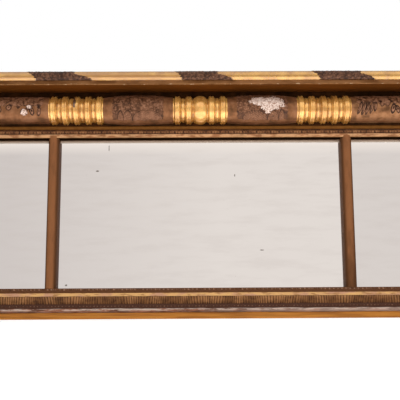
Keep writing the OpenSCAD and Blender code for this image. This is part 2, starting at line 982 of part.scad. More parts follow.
module hanger_plate_left() {
    color("#8c8378") left() hanger_plate();
}

// A D of wire that hangs down from its straight side, which turns in the knuckle
module hanger_ring() {
    bar = 2 * (ring_r + wire_r + bar_end);
    translate([hanger_x, hinge_y, hinge_z]) {
        translate([-bar / 2, 0, 0]) rotate([0, 90, 0]) cylinder(h = bar, r = wire_r);
        rotate([-90, 0, 0]) rotate_extrude(angle = 180) translate([ring_r, 0]) circle(r = arm_r);
    }
}

module hanger_ring_right() {
    color("#8c8378") hanger_ring();
}

module hanger_ring_left() {
    color("#8c8378") left() hanger_ring();
}

carcass_top_rail();
carcass_bottom_rail();
carcass_stile_left();
carcass_stile_right();
carcass_muntin_left();
carcass_muntin_right();
mirror_plate_left();
mirror_plate_centre();
mirror_plate_right();
backboard_left();
backboard_centre();
backboard_right();
glazing_blocks();
backboard_brads();
sight_moulding_top();
sight_moulding_left();
sight_moulding_right();
ornament_strip_top();
ornament_strip_left();
ornament_strip_right();
column_board_top();
column_board_left();
column_board_right();
column_gilt_centre();
column_gilt_left();
column_gilt_right();
column_dark_left();
column_dark_right();
column_outer_left();
column_outer_right();
leaf_sleeve_left();
leaf_sleeve_right();
leaf_sleeve_outer_left();
leaf_sleeve_outer_right();
side_column_left();
side_column_right();
side_leaf_sleeves();
corner_block_top_left();
corner_block_top_right();
corner_block_bottom_left();
corner_block_bottom_right();
rosettes();
cornice_board();
cornice_torus_front();
cornice_torus_left();
cornice_torus_right();
cornice_leaf_wraps();
cornice_glue_blocks();
base_strip();
bottom_moulding();
bottom_leaf_strip();
bottom_bead_strips();
divider_rod_left();
divider_rod_right();
hanger_plate_left();
hanger_plate_right();
hanger_ring_left();
hanger_ring_right();
screws();
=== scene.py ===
import math
import random
from functools import partial

import bmesh
import bpy
from mathutils import Matrix, Vector


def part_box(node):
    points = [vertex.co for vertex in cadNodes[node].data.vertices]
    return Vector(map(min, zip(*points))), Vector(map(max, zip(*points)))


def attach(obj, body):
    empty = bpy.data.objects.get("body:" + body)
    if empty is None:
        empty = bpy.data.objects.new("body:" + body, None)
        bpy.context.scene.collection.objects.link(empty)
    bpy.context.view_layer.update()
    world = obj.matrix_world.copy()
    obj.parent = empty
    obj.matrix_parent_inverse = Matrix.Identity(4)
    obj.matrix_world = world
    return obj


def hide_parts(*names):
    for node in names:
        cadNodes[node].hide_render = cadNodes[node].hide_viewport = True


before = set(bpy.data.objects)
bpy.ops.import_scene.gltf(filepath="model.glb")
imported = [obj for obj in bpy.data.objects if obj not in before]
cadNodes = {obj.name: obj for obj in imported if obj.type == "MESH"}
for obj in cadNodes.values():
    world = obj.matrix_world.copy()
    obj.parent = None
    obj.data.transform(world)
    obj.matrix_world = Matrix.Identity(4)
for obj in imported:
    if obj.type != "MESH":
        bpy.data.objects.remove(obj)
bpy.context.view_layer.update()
scene = bpy.context.scene
print("overmantel frame loaded,", len(cadNodes), "pieces")

mm = 0.001  # one millimetre in metres
# places on the frame, in millimetres
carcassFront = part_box("carcass_top_rail")[0].y / mm  # also the front of the glass
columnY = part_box("column_board_top")[0].y / mm  # axis plane of every split column
boardRise = 5  # how far the middle of the column's board is above the column's axis
columnZ = sum(corner.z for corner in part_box("column_board_top")) / 2 / mm - boardRise
sideColumnX = sum(corner.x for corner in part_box("column_board_right")) / 2 / mm
rodX = sum(corner.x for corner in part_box("divider_rod_right")) / 2 / mm


# camera at the photograph's view: low, level with the shelf, tilted up a little
cameraView = {"lens": 59.3, "sensor": 36, "near": 0.05, "place": (-14.7, -1844, 56.6), "up": 8.474,
              "turn": -0.399, "roll": -0.32}

cameraData = bpy.data.cameras.new("camera")
cameraData.lens = cameraView["lens"]
cameraData.sensor_width = cameraView["sensor"]
cameraData.clip_start = cameraView["near"]
camera = bpy.data.objects.new("camera", cameraData)
scene.collection.objects.link(camera)
camera.matrix_world = (
    Matrix.Translation(Vector(cameraView["place"]) * mm)
    @ Matrix.Rotation(math.radians(cameraView["turn"]), 4, "Z")
    @ Matrix.Rotation(math.radians(90 + cameraView["up"]), 4, "X")
    @ Matrix.Rotation(math.radians(cameraView["roll"]), 4, "Z")
)
scene.camera = camera
scene.view_settings.view_transform = "Standard"


def linear(code):
    # sRGB hex to the linear colour a socket takes
    parts = [int(code[i:i + 2], 16) / 255 for i in (1, 3, 5)]
    return tuple(p / 12.92 if p <= 0.04045 else ((p + 0.055) / 1.055) ** 2.4 for p in parts) + (1.0,)


def addNode(tree, kind, values=None, output=None):
    # settings come before sockets; a socket takes a number, a hex colour or another node's output
    node = tree.nodes.new("ShaderNode" + kind)
    for key, value in (values or {}).items():
        if key == "stops":
            ramp = node.color_ramp.elements
            ramp[0].position, ramp[1].position = value[0][0], value[-1][0]
            for position, colour in value[1:-1]:
                ramp.new(position)
            for stop, (position, colour) in zip(ramp, value):
                stop.color = linear(colour)
        elif key in ("From", "To"):
            # both ends of a range
            for end, number in zip((" Min", " Max"), value):
                node.inputs[key + end].default_value = number
        elif isinstance(key, str) and key not in node.inputs:
            setattr(node, key, value)
        elif isinstance(value, bpy.types.NodeSocket):
            tree.links.new(value, node.inputs[key])
        else:
            node.inputs[key].default_value = linear(value) if isinstance(value, str) else value
    if output:
        return node.outputs[output]
    return next((socket for socket in node.outputs if socket.enabled), node)


def startFinish(name):
    # an empty material, what adds its nodes, and its place on the object in millimetres
    material = bpy.data.materials.new(name)
    material.use_nodes = True
    material.node_tree.nodes.clear()
    add = partial(addNode, material.node_tree)
    return material, add, add("VectorMath", {"operation": "SCALE", 0: add("TexCoord", {}, "Object"), "Scale": 1 / mm})


shaderSockets = {"metal": "Metallic", "rough": "Roughness", "shine": "Specular IOR Level", "tint": "Specular Tint",
                 "coat": "Coat Weight", "coatRough": "Coat Roughness", "glow": "Emission Color",
                 "glowStrength": "Emission Strength"}


def closeFinish(material, add, tone, bump, values, **own):
    # bump is (height, strength, depth in millimetres); own stands before the same names in values
    given = {**values, **own}
    settings = {socket: given[name] for name, socket in shaderSockets.items() if name in given}
    if bump:
        settings["Normal"] = add("Bump", {"Height": bump[0], "Strength": bump[1], "Distance": bump[2] * mm})
    add("OutputMaterial", {"Surface": add("BsdfPrincipled", {"Base Color": tone, **settings})})
    return material


def layCoats(add, tone, *coats):
    # colours over one another; each coat is (the share it covers, its colour)
    for share, colour in coats:
        tone = add("Mix", {"data_type": "RGBA", 0: share, 6: tone, 7: colour})
    return tone


def patches(add, place, size, low, high, stretch=(1, 1, 1), rough=0.55, most=1):
    # patches of about size millimetres: 0 where the noise is below low, most above high
    along = add("Mapping", {"Vector": place, "Scale": stretch})
    noise = add("TexNoise", {"Vector": along, "Scale": 1 / size, "Detail": 4, "Roughness": rough})
    return add("MapRange", {"interpolation_type": "SMOOTHSTEP", "Value": noise, "From": (low, high), "To": (0, most)})


def bandedTone(add, height, start, bands, soft=0.15):
    # bands of colour one above another; each band is (its end in millimetres, its colour)
    end, low, stops = bands[-1][0], start, []
    for high, colour in bands:
        stops += [((edge - start) / (end - start), colour) for edge in (low + soft, high - soft)]
        low = high
    return add("ValToRGB", {"stops": stops, "Fac": add("MapRange", {"Value": height, "From": (start, end)})})


tear = {"size": 9, "rough": 0.75, "depth": 2.2, "edge": (2.04, 2.1)}


def tornOval(add, place, x, z, wide, high):
    # 1 inside an oval on the front with a torn edge, 0 outside
    inside = add("Mapping", {"Vector": place, "Scale": (1 / wide, 0, 1 / high), "Location": (-x / wide, 0, -z / high)})
    reach = add("VectorMath", {"operation": "LENGTH", 0: inside})
    noise = add("TexNoise", {"Vector": place, "Scale": 1 / tear["size"], "Detail": 5, "Roughness": tear["rough"]})
    torn = add("Math", {"operation": "MULTIPLY_ADD", 0: noise, 1: tear["depth"], 2: reach})
    return add("MapRange", {"Value": torn, "From": tear["edge"], "To": (1, 0)})


# size is the colour of the painted shade on faces turned down; settled is how far dust and that shade cover
gilding = {
    "leaf": "#d0974c", "bright": "#deaa5b", "dull": "#b9833f", "bole": "#94582f", "grime": "#6b431b",
    "dust": "#ab8650", "size": "#bd833f", "stain": "#654632", "patch": 34, "pit": 2.4, "rough": 0.22, "metal": 0.45,
    "wornMetal": 0.2, "settled": 0.7, "coat": 0.8, "coatRough": 0.09, "shine": 0.1,
}


def gildedCoat(add, place, values, grooves):
    # gold leaf: warm and dull patches, pits rubbed to the bole, grime in the grooves,
    # dust on what faces up, and painted shade, a darker size brown, on what faces down; returns colour and metal share
    tone = add("ValToRGB", {"stops": ((0, values["dull"]), (0.45, values["leaf"]), (1, values["bright"])),
                            "Fac": patches(add, place, values["patch"], 0.3, 0.68)})
    worn = patches(add, place, values["pit"], 0.67, 0.76, rough=0.7)
    tone = layCoats(add, tone, (worn, values["bole"]))
    if grooves:
        relief = add("Attribute", {"attribute_name": "relief"}, "Fac")
        low = add("MapRange", {"Value": relief, "From": (0, 0.2), "To": (0.8, 0)})
        grime = add("Math", {"operation": "MULTIPLY", 0: low, 1: patches(add, place, 9, 0.25, 0.7)})
        tone = layCoats(add, tone, (grime, values["grime"]))
        worn = add("Math", {"operation": "MAXIMUM", 0: worn, 1: grime})
    up = add("SeparateXYZ", {"Vector": add("TexCoord", {}, "Normal")}, "Z")
    above = add("MapRange", {"Value": up, "From": (0.72, 0.97), "To": (0, values["settled"])})
    # painted shade: faces turned down take the darker size brown
    below = add("MapRange", {"Value": up, "From": (-0.8, -0.98), "To": (0, values["settled"])})
    tone = layCoats(add, tone, (above, values["dust"]), (below, values["size"]))
    worn = add("Math", {"operation": "MAXIMUM", 0: worn, 1: above})
    return tone, add("MapRange", {"Value": worn, "To": (values["metal"], values["wornMetal"])})


def makeGilding(name, grooves=False, stain=None, dullEnd=None, **own):
    # water gilding burnished over red bole: a warm metal shine, broken by rubbed pits
    material, add, place = startFinish(name)
    values = {**gilding, **own}
    tone, metal = gildedCoat(add, place, values, grooves)
    if stain:
        tone = layCoats(add, tone, (tornOval(add, place, *stain), values["stain"]))
    rough = add("MapRange", {"Value": patches(add, place, 14, 0.3, 0.7),
                             "To": (values["rough"] - 0.03, values["rough"] + 0.1)})
    if dullEnd:
        # the left of the moulding is rubbed along its length, and shines less
        along = add("SeparateXYZ", {"Vector": place}, "X")
        left = add("MapRange", {"Value": along, "From": dullEnd, "To": (1, 0)})
        streaks = patches(add, place, 5, 0.35, 0.62, (0.03, 1, 1))
        streaked = add("Math", {"operation": "MULTIPLY", 0: left, 1: streaks})
        tone = layCoats(add, tone, (streaked, values["dull"]))
        rough = add("Math", {"operation": "MULTIPLY_ADD", 0: left, 1: 0.2, 2: rough})
    pits = patches(add, place, values["pit"], 0.5, 0.8)
    return closeFinish(material, add, tone, (pits, 0.12, 0.3), values, metal=metal, rough=rough)


bronzed = {
    "deep": "#593a24", "mid": "#774d31", "light": "#885d40", "speck": "#a57c58", "patch": 24, "pit": 1.8,
    "rough": 0.38, "metal": 0.25, "shine": 0.2, "tint": "#e0c0a8",
}


def makeBronzed(name, edges=None, grain=(1, 1, 1), **own):
    # bronze powder in brown varnish on turned wood: satin, cloudy, with fine worn specks
    material, add, place = startFinish(name)
    values = {**bronzed, **own}
    tone = add("ValToRGB", {"stops": ((0, values["deep"]), (0.5, values["mid"]), (1, values["light"])),
                            "Fac": patches(add, place, values["patch"], 0.28, 0.72, grain)})
    specks = patches(add, place, values["pit"], 0.66, 0.74, rough=0.65)
    tone = layCoats(add, tone, (specks, values["speck"]))
    if edges:
        # painted shade: darker along the rod's flanks, where it meets the glass
        across = add("Math", {"operation": "ABSOLUTE", 0: add("SeparateXYZ", {"Vector": place}, "X")})
        off = add("Math", {"operation": "ABSOLUTE", 0: add("Math", {"operation": "SUBTRACT", 0: across, 1: rodX})})
        tone = layCoats(add, tone, (add("MapRange", {"Value": off, "From": edges}), values["deep"]))
    return closeFinish(material, add, tone, (specks, 0.2, 0.3), values)


composition = {
    "deep": "#221107", "mid": "#64402a", "top": "#91654b", "rubbed": "#bd9270", "gesso": "#e2ccbe",
    "gessoDull": "#a07a66", "rubShare": 0.8, "cloud": 0.35, "rough": 0.42, "metal": 0.2, "shine": 0.12,
}


def makeComposition(name, losses=(), **own):
    # pressed composition, bronzed: dirt lies in the relief, its tops are rubbed lighter,
    # and where it has come away white gesso shows
    material, add, place = startFinish(name)
    values = {**composition, **own}
    relief = add("Attribute", {"attribute_name": "relief"}, "Fac")
    height = add("Math", {"operation": "ADD", 0: relief, 1: patches(add, place, 16, 0.25, 0.75, most=values["cloud"])})
    tone = add("ValToRGB", {"stops": ((0.18, values["deep"]), (0.5, values["mid"]), (0.95, values["top"])),
                            "Fac": height})
    fine = patches(add, place, 2.2, 0.56, 0.68, rough=0.7)
    high = add("MapRange", {"Value": relief, "From": (0.5, 0.95), "To": (0, values["rubShare"])})
    rubbed = add("Math", {"operation": "MULTIPLY", 0: fine, 1: high})
    tone = layCoats(add, tone, (rubbed, values["rubbed"]))
    if losses:
        dull = patches(add, place, 4, 0.42, 0.62, rough=0.7)
        gesso = layCoats(add, values["gesso"], (dull, values["gessoDull"]))
        tone = layCoats(add, tone, *((tornOval(add, place, *oval), gesso) for oval in losses))
    return closeFinish(material, add, tone, (fine, 0.3, 0.4), values)


# edges of the sight opening, and the ornament strip's distance out from it and in front of the glass
sight = {"top": 516, "side": 635, "foot": 85.5, "strip": 12, "stripFront": 24}
# bands of the sight moulding: (distance out from the opening where it ends, its colour); the first, near black in the
# rebate, is painted shade
sightBands = ((0.2, "#080301"), (1.4, "#6d4829"), (11.3, "#ba8c64"), (25.5, "#5a341d"), (34.5, "#805327"),
              (38, "#5c3612"))
sightFinish = {"filletWorn": "#8e6041", "dirt": "#080301", "cloud": 0.35, "fillet": (6.5, 4.7), "filletMetal": 0.4,
               "rough": 0.45, "shine": 0}


def makeSightFinish(values):
    # oil gilding toned brown: a pale rubbed fillet, a dark band and hollow, and painted shade, near black, in the
    # rebate
    material, add, place = startFinish("tonedOilGildingSight")
    parts = add("SeparateXYZ", {"Vector": place}, "X").node.outputs
    across = add("Math", {"operation": "ABSOLUTE", 0: parts["X"]})
    up = add("Math", {"operation": "SUBTRACT", 0: parts["Z"], 1: sight["top"]})
    out = add("Math", {"operation": "SUBTRACT", 0: across, 1: sight["side"]})
    distance = add("Math", {"operation": "MAXIMUM", 0: up, 1: out})
    tone = bandedTone(add, distance, -0.2, sightBands)
    middle, half = values["fillet"]
    onFillet = add("Math", {"operation": "COMPARE", 0: distance, 1: middle, 2: half})
    worn = add("Math", {"operation": "MULTIPLY", 0: onFillet, 1: patches(add, place, 7, 0.46, 0.62, (0.25, 1, 1))})
    cloud = patches(add, place, 22, 0.4, 0.8, most=values["cloud"])
    tone = layCoats(add, tone, (worn, values["filletWorn"]), (cloud, values["dirt"]))
    metal = add("Math", {"operation": "MULTIPLY", 0: onFillet, 1: values["filletMetal"]})
    return closeFinish(material, add, tone, (patches(add, place, 2, 0.3, 0.7), 0.2, 0.3), values, metal=metal)


# heights on the bottom moulding, in millimetres: where its bands start and end, where its nose ends and its
# gesso starts to show, and the middle and half height of its fillet
railLevels = {"start": 28, "hollow": 41.5, "band": 63, "cove": 86, "nose": (29.6, 30.6), "bare": (23, 26.5),
              "fillet": (67.6, 4.5)}
railFinish = {"nose": "#6c4534", "noseRed": "#a56c53", "gesso": "#dcc3b2", "hollow": "#4f3022", "band": "#654328",
              "fillet": "#b98f5b", "filletPink": "#a47a5e", "filletWorn": "#8f6840", "cove": "#593211",
              "wander": 1.6, "paler": (-50, 350), "filletMetal": 0.45, "rough": 0.48, "shine": 0.15}


def makeRailFinish(values):
    # bottom moulding: a bruised nose with bare gesso, dark hollow, patchy gilt fillet, dark bead band
    material, add, place = startFinish("wornRailGilding")
    parts = add("SeparateXYZ", {"Vector": place}, "X").node.outputs
    height = parts["Z"]
    wander = patches(add, place, 14, 0.2, 0.8, (0.3, 1, 1), most=values["wander"])
    shaken = add("Math", {"operation": "ADD", 0: height, 1: wander})
    chips = patches(add, place, 5, 0.45, 0.53, (0.14, 1, 1), 0.7)
    bare = add("MapRange", {"Value": shaken, "From": railLevels["bare"], "To": (0.15, 1)})
    chipped = add("Math", {"operation": "MULTIPLY", 0: chips, 1: bare})
    # painted light: the nose is painted paler towards the right, where more light falls
    paler = add("MapRange", {"Value": parts["X"], "From": values["paler"], "To": (0, 0.4)})
    nose = layCoats(add, values["nose"], (patches(add, place, 9, 0.4, 0.6, (0.2, 1, 1)), values["noseRed"]),
                    (chipped, values["gesso"]), (paler, values["gesso"]))
    onNose = add("MapRange", {"Value": shaken, "From": railLevels["nose"], "To": (1, 0)})
    gold = layCoats(add, values["fillet"], (patches(add, place, 17, 0.42, 0.62, (0.4, 1, 1)), values["filletPink"]),
                    (patches(add, place, 7, 0.52, 0.66, (0.25, 1, 1)), values["filletWorn"]))
    middle, half = railLevels["fillet"]
    onFillet = add("Math", {"operation": "COMPARE", 0: height, 1: middle, 2: half})
    bands = [(railLevels[part], values[part]) for part in ("hollow", "band", "cove")]
    tone = bandedTone(add, height, railLevels["start"], bands, 0.3)
    tone = layCoats(add, tone, (onNose, nose), (onFillet, gold))
    metal = add("Math", {"operation": "MULTIPLY", 0: onFillet, 1: values["filletMetal"]})
    return closeFinish(material, add, tone, (chips, 0.4, 0.5), values, metal=metal)


corniceFinish = {"soffit": "#623308", "soffitLight": "#703e10", "lip": "#7b5230", "lipEdge": "#8c6039",
                 "stain": "#5b3719", "chip": "#d0b390", "top": "#3d2817", "lipFront": (-53.2, -53.7),
                 "lipEnds": (789.9, 790.4), "lipTop": (663.6, 664), "lipFoot": (654, 657), "lipMetal": 0.2,
                 "rough": 0.5, "shine": 0.08}


def makeCorniceFinish(values):
    # stained and toned pine board: a dark soffit, a worn brown lip, its lower edge chipped
    material, add, place = startFinish("tonedCorniceBoard")
    parts = add("SeparateXYZ", {"Vector": place}, "X").node.outputs
    across = add("Math", {"operation": "ABSOLUTE", 0: parts["X"]})
    front = add("MapRange", {"Value": parts["Y"], "From": values["lipFront"]})
    ends = add("MapRange", {"Value": across, "From": values["lipEnds"]})
    onLip = add("Math", {"operation": "MAXIMUM", 0: front, 1: ends})
    grain = patches(add, place, 7, 0.3, 0.7, (0.05, 1, 1))
    above = add("MapRange", {"Value": parts["Z"], "From": values["lipTop"]})
    low = add("MapRange", {"Value": parts["Z"], "From": values["lipFoot"], "To": (1, 0)})
    rubbed = add("Math", {"operation": "MULTIPLY", 0: low, 1: patches(add, place, 30, 0.42, 0.56)})
    chips = add("Math", {"operation": "MULTIPLY", 0: low, 1: patches(add, place, 6, 0.57, 0.64, (0.4, 1, 1), 0.7)})
    lip = layCoats(add, values["lip"], (patches(add, place, 15, 0.4, 0.66, (0.25, 1, 1)), values["stain"]),
                   (rubbed, values["lipEdge"]), (chips, values["chip"]))
    tone = layCoats(add, values["soffit"], (grain, values["soffitLight"]), (above, values["top"]), (onLip, lip))
    metal = add("Math", {"operation": "MULTIPLY", 0: onLip, 1: values["lipMetal"]})
    return closeFinish(material, add, tone, (grain, 0.15, 0.4), values, metal=metal)


ochreWash = {"light": "#d9923f", "mid": "#cb8437", "dark": "#a96a30", "rough": 0.7, "shine": 0.2}


def makeOchre(values):
    # flat yellow ochre distemper, brushed along the strip
    material, add, place = startFinish("ochreDistemper")
    streak = patches(add, place, 7, 0.28, 0.72, (0.05, 1, 1))
    tone = add("ValToRGB", {"stops": ((0, values["dark"]), (0.5, values["mid"]), (1, values["light"])), "Fac": streak})
    return closeFinish(material, add, tone, (streak, 0.2, 0.3), values)


pine = {"light": "#b58a5a", "dark": "#86603a", "dirt": "#4f3a26", "ring": 4, "ringShare": 0.45, "dirtShare": 0.7,
        "rough": 0.78}


def makePine(name, along, sawn=0.3, **own):
    # aged pine: latewood lines a few millimetres apart along the grain, dusty and matt
    material, add, place = startFinish(name)
    values = {**pine, **own}
    stretch = tuple(0.04 if axis == along else 1 for axis in "xyz")
    grainwise = add("Mapping", {"Vector": place, "Scale": stretch})
    rings = add("TexWave", {"wave_type": "BANDS", "bands_direction": {"x": "Z", "z": "X"}[along], "Vector": grainwise,
                            "Scale": 1 / values["ring"] / 2, "Distortion": 6, "Detail": 3}, "Fac")
    fibres = patches(add, place, 6, 0.3, 0.7, stretch, most=1 - values["ringShare"])
    grain = add("Math", {"operation": "MULTIPLY_ADD", 0: rings, 1: values["ringShare"], 2: fibres})
    grey = patches(add, place, 90, 0.45, 0.8, most=values["dirtShare"])
    tone = layCoats(add, values["dark"], (grain, values["light"]), (grey, values["dirt"]))
    return closeFinish(material, add, tone, (grain, sawn, 0.5), values)


# marks are a scratch and specks in the silvering of the centre plate, each as x, z and its half sizes
plateFinish = {"left": "#cfc7c3", "right": "#e2dad4", "topGlow": "#efe5dc", "mottle": "#c6bcb6", "spot": "#8a8079",
               "perished": "#d3bda9", "perishedEdge": "#a27d62", "shade": "#140a04", "ends": (-560, 60),
               "rightPlate": (424, 426), "glowReach": (12, 45), "perishedTo": (8, 9.5), "lostOver": (0, 9),
               "mottleShare": 0.22, "shine": 0.1,
               "marks": ((-267, 492, 1.3, 11), (-383, 95, 3.5, 3.2), (-300, 424, 5, 2.5), (100, 410, 1.5, 4),
                         (175, 192, 6, 1.5))}


def makePlate(values):
    # tin-mercury silvering behind old glass: greyish, faintly mottled, a few dark specks,
    # and a perished tan strip under the top moulding with a line of painted shade at its top;
    # painted reflection makes it greyer on the left and paler towards the middle and right, and painted light gives a
    # paler band near the top
    material, add, place = startFinish("tinMercuryPlate")
    parts = add("SeparateXYZ", {"Vector": place}, "X").node.outputs
    # painted reflection: greyer on the left, paler towards the middle and right, the right plate pulled back part way
    along = add("MapRange", {"Value": parts["X"], "From": values["ends"]})
    rightPlate = add("MapRange", {"Value": parts["X"], "From": values["rightPlate"], "To": (0, 0.55)})
    mottle = patches(add, place, 24, 0.4, 0.75, (0.2, 1, 1), most=values["mottleShare"])
    below = add("Math", {"operation": "SUBTRACT", 0: sight["top"], 1: parts["Z"]})
    # painted light: a paler band 12 to 45 mm below the top edge
    glow = add("MapRange", {"Value": below, "From": values["glowReach"], "To": (0.8, 0)})
    perished = add("MapRange", {"Value": below, "From": values["perishedTo"], "To": (1, 0)})
    # painted shade: the near-black line right under the moulding, above the perished tan
    perishedAndShadeStops = ((0.03, values["shade"]), (0.16, values["perishedEdge"]), (0.6, values["perished"]))
    perishedAndShadeTone = add("ValToRGB", {"stops": perishedAndShadeStops, "Fac": add("MapRange", {"Value": below, "From": values["lostOver"]})})
    marks = [(tornOval(add, place, *mark), values["spot"]) for mark in values["marks"]]
    tone = layCoats(add, values["left"], (along, values["right"]), (rightPlate, values["left"]),
                    (mottle, values["mottle"]), (patches(add, place, 5, 0.75, 0.79), values["spot"]),
                    (glow, values["topGlow"]), *marks, (perished, perishedAndShadeTone))
    metal = add("MapRange", {"Value": perished, "To": (1, 0)})
    haze = add("MapRange", {"Value": mottle, "To": (0.02, 0.06)})
    rough = add("Math", {"operation": "MULTIPLY_ADD", 0: perished, 1: 0.45, 2: haze})
    return closeFinish(material, add, tone, None, values, metal=metal, rough=rough)


def makeOldMetal(name, colour, stain, rough):
    # iron or brass fittings: dull metal with stains in patches of a few millimetres
    material, add, place = startFinish(name)
    stains = patches(add, place, 5, 0.42, 0.66)
    dull = add("MapRange", {"Value": stains, "To": (rough, rough + 0.25)})
    tone = layCoats(add, colour, (stains, stain))
    return closeFinish(material, add, tone, (stains, 0.2, 0.1), {"metal": 1}, rough=dull)


finishes = {
    "torusGilding": makeGilding("waterGildingMoulding", dullEnd=(60, 105), leaf="#a97a34", bright="#b98a3f",
                                dull="#98692f", coat=1, coatRough=0.06, rough=0.2),
    "reedGilding": makeGilding("waterGildingReeds", True),
    "stainedReedGilding": makeGilding("waterGildingStainedReeds", True, (-360, 612, 4.5, 20)),
    "rosetteGilding": makeGilding("waterGildingRosettes", True),
    "bronzed": makeBronzed("bronzedTurning"),
    "bronzedPale": makeBronzed("rubbedBronzedTurning", mid="#84593a", light="#976b4a"),
    "rod": makeBronzed("bronzedRod", (8, 13), (1, 1, 0.25), mid="#8a5a3a", light="#96633f", deep="#5c3c26",
                       patch=60, metal=0.05, shine=0.02, tint="#6b4429"),
    "block": makeBronzed("bronzedBlock", mid="#6d4529", light="#835736", deep="#4a2e1a"),
    # painted shade: the boards behind the columns are near black for the shade that falls there
    "field": makeBronzed("bronzedField", mid="#2c180a", light="#38200f", deep="#1e1006", speck="#4a2e18", metal=0,
                         shine=0.02),
    "sight": makeSightFinish(sightFinish),
    "rail": makeRailFinish(railFinish),
    "cornice": makeCorniceFinish(corniceFinish),
    "ochre": makeOchre(ochreWash),
    "pineX": makePine("agedPineRail", "x"),
    "pineZ": makePine("agedPineStile", "z", light="#b08453", dark="#805a36"),
    "boards": makePine("brownedPineBoards", "x", 0.5, light="#8f6a45", dark="#5f432a", ring=7),
    "plate": makePlate(plateFinish),
    "iron": makeOldMetal("dullIron", "#6d665f", "#4a3a30", 0.45),
    "brass": makeOldMetal("dullBrass", "#9a7f4e", "#5e4a2c", 0.38),
    "ornament": makeComposition("pressedComposition"),
    "ornamentChipped": makeComposition("chippedComposition", deep="#33211a", rubShare=1, losses=(
        (168, 613, 26, 13), (205, 608, 34, 20), (192, 596, 16, 16))),
    "ornamentOuter": makeComposition("chippedOuterComposition", ((-503, 583, 9, 9), (-488, 599, 7, 6))),
    "wrap": makeComposition("wrapComposition", deep="#26170f", mid="#482e20", top="#6a4835"),
    "strip": makeComposition("stripComposition", deep="#331c0d", mid="#643d22", top="#8a5d3a", rubShare=0.4),
    "tongues": makeComposition("tongueComposition", deep="#3b2213", mid="#774e2d", top="#ab7a4e", rubShare=0.5),
    "beads": makeComposition("beadComposition", deep="#3a251a", mid="#6b4835", top="#9c755c", rubShare=0.5,
                             shine=0.02, metal=0.1),
}
print("finishes made")


# CAD pieces that keep their own shape
dressing = {
    # the column boards carry the near-black painted shade
    "field": ["column_board_top", "column_board_left", "column_board_right"],
    "pineX": ["carcass_top_rail", "carcass_bottom_rail", "cornice_glue_blocks", "glazing_blocks"],
    "pineZ": ["carcass_stile_left", "carcass_stile_right", "carcass_muntin_left", "carcass_muntin_right"],
    "boards": ["backboard_left", "backboard_centre", "backboard_right"],
    "plate": ["mirror_plate_left", "mirror_plate_centre", "mirror_plate_right"],
    "iron": ["screws", "backboard_brads"],
    "brass": ["hanger_plate_left", "hanger_plate_right", "hanger_ring_left", "hanger_ring_right"],
}
for finish, names in dressing.items():
    for name in names:
        mesh = cadNodes[name].data
        mesh.materials.clear()
        mesh.materials.append(finishes[finish])
print("carcass, plates and fittings finished")


def finishPiece(bm, name, used, replaced, sharp=40):
    # smooth but for edges sharper than the angle; used is the list of its finishes
    for face in bm.faces:
        face.smooth = True
    for edge in bm.edges:
        edge.smooth = len(edge.link_faces) < 2 or edge.calc_face_angle(0) < math.radians(sharp)
    mesh = bpy.data.meshes.new(name)
    bm.to_mesh(mesh)
    bm.free()
    for finish in used:
        mesh.materials.append(finishes[finish])
    piece = bpy.data.objects.new(name, mesh)
    scene.collection.objects.link(piece)
    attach(piece, "frame")
    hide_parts(*replaced)
    return piece


# mouldings and blocks: merged copies of the CAD pieces, curves smoothed and worn arrises eased;
# each row is the finish, the slot, the wear in millimetres and the pieces
eased = (
    ("torusGilding", "gilt", 0, "cornice_torus_front cornice_torus_left cornice_torus_right"),
    ("cornice", "soffit_brown", 0.7, "cornice_board"),
    ("sight", "worn_gilt", 0, "sight_moulding_top sight_moulding_left sight_moulding_right"),
    ("rail", "worn_gilt", 0, "bottom_moulding"),
    ("ochre", "ochre", 0.6, "base_strip"),
    ("rod", "rod_brown", 0, "divider_rod_left divider_rod_right"),
    ("block", "dark_turning", 0.8, "corner_block_top_left corner_block_top_right corner_block_bottom_left"
                                   " corner_block_bottom_right"),
)
arrisAngle = 50  # degrees; a sharper edge than this wears round
for finish, slot, worn, nodes in eased:
    for node in nodes.split():
        bm = bmesh.new()
        bm.from_mesh(cadNodes[node].data)
        bmesh.ops.remove_doubles(bm, verts=bm.verts, dist=0.001 * mm)
        if worn:
            bmesh.ops.dissolve_limit(bm, angle_limit=math.radians(1), verts=bm.verts, edges=bm.edges)
            arrises = [edge for edge in bm.edges if edge.calc_face_angle(0) > math.radians(arrisAngle)]
            bmesh.ops.bevel(bm, geom=arrises, offset=worn * mm, offset_type="OFFSET", affect="EDGES", segments=2,
                            profile=0.5, material=-1, clamp_overlap=True)
        finishPiece(bm, "worn_" + node, [finish], [node], 30)
print("mouldings and blocks eased")


# split turnings: radii and lengths of the sections, in millimetres
turning = {"steps": 56, "groove": 35, "relief": 8, "neck": 38, "swell": 43.5, "sideSwell": 42.5, "plain": 39,
           "collar": 41, "collarBead": 3.5, "beadSunk": 1.5, "collarLength": 12}
reeds = {"length": 156, "pitch": 32.85, "hump": (13, 28.2), "reed": (3.4, 39.1), "reedOff": 4.1, "lowReed": (6, 30.6),
         "torus": (27.5, 15.5), "endLength": 3, "endRadius": 37}


def newMesh():
    # an empty mesh and the layer that holds how high its corners stand in the relief
    bm = bmesh.new()
    return bm, bm.verts.layers.float.new("relief")


def swellRadius(length, swell, s):
    # a flat arc from neck to neck
    rise = swell - turning["neck"]
    arc = ((length / 2) ** 2 + rise ** 2) / (2 * rise)
    return swell - arc + math.sqrt(arc ** 2 - (s - length / 2) ** 2)


def collarRadius(s):
    bead, off = turning["collarBead"], abs(s - turning["collarLength"] / 2)
    beadTop = turning["collar"] - turning["beadSunk"] + math.sqrt(max(0, bead ** 2 - off ** 2)) if off < bead else 0
    return max(turning["collar"], beadTop)


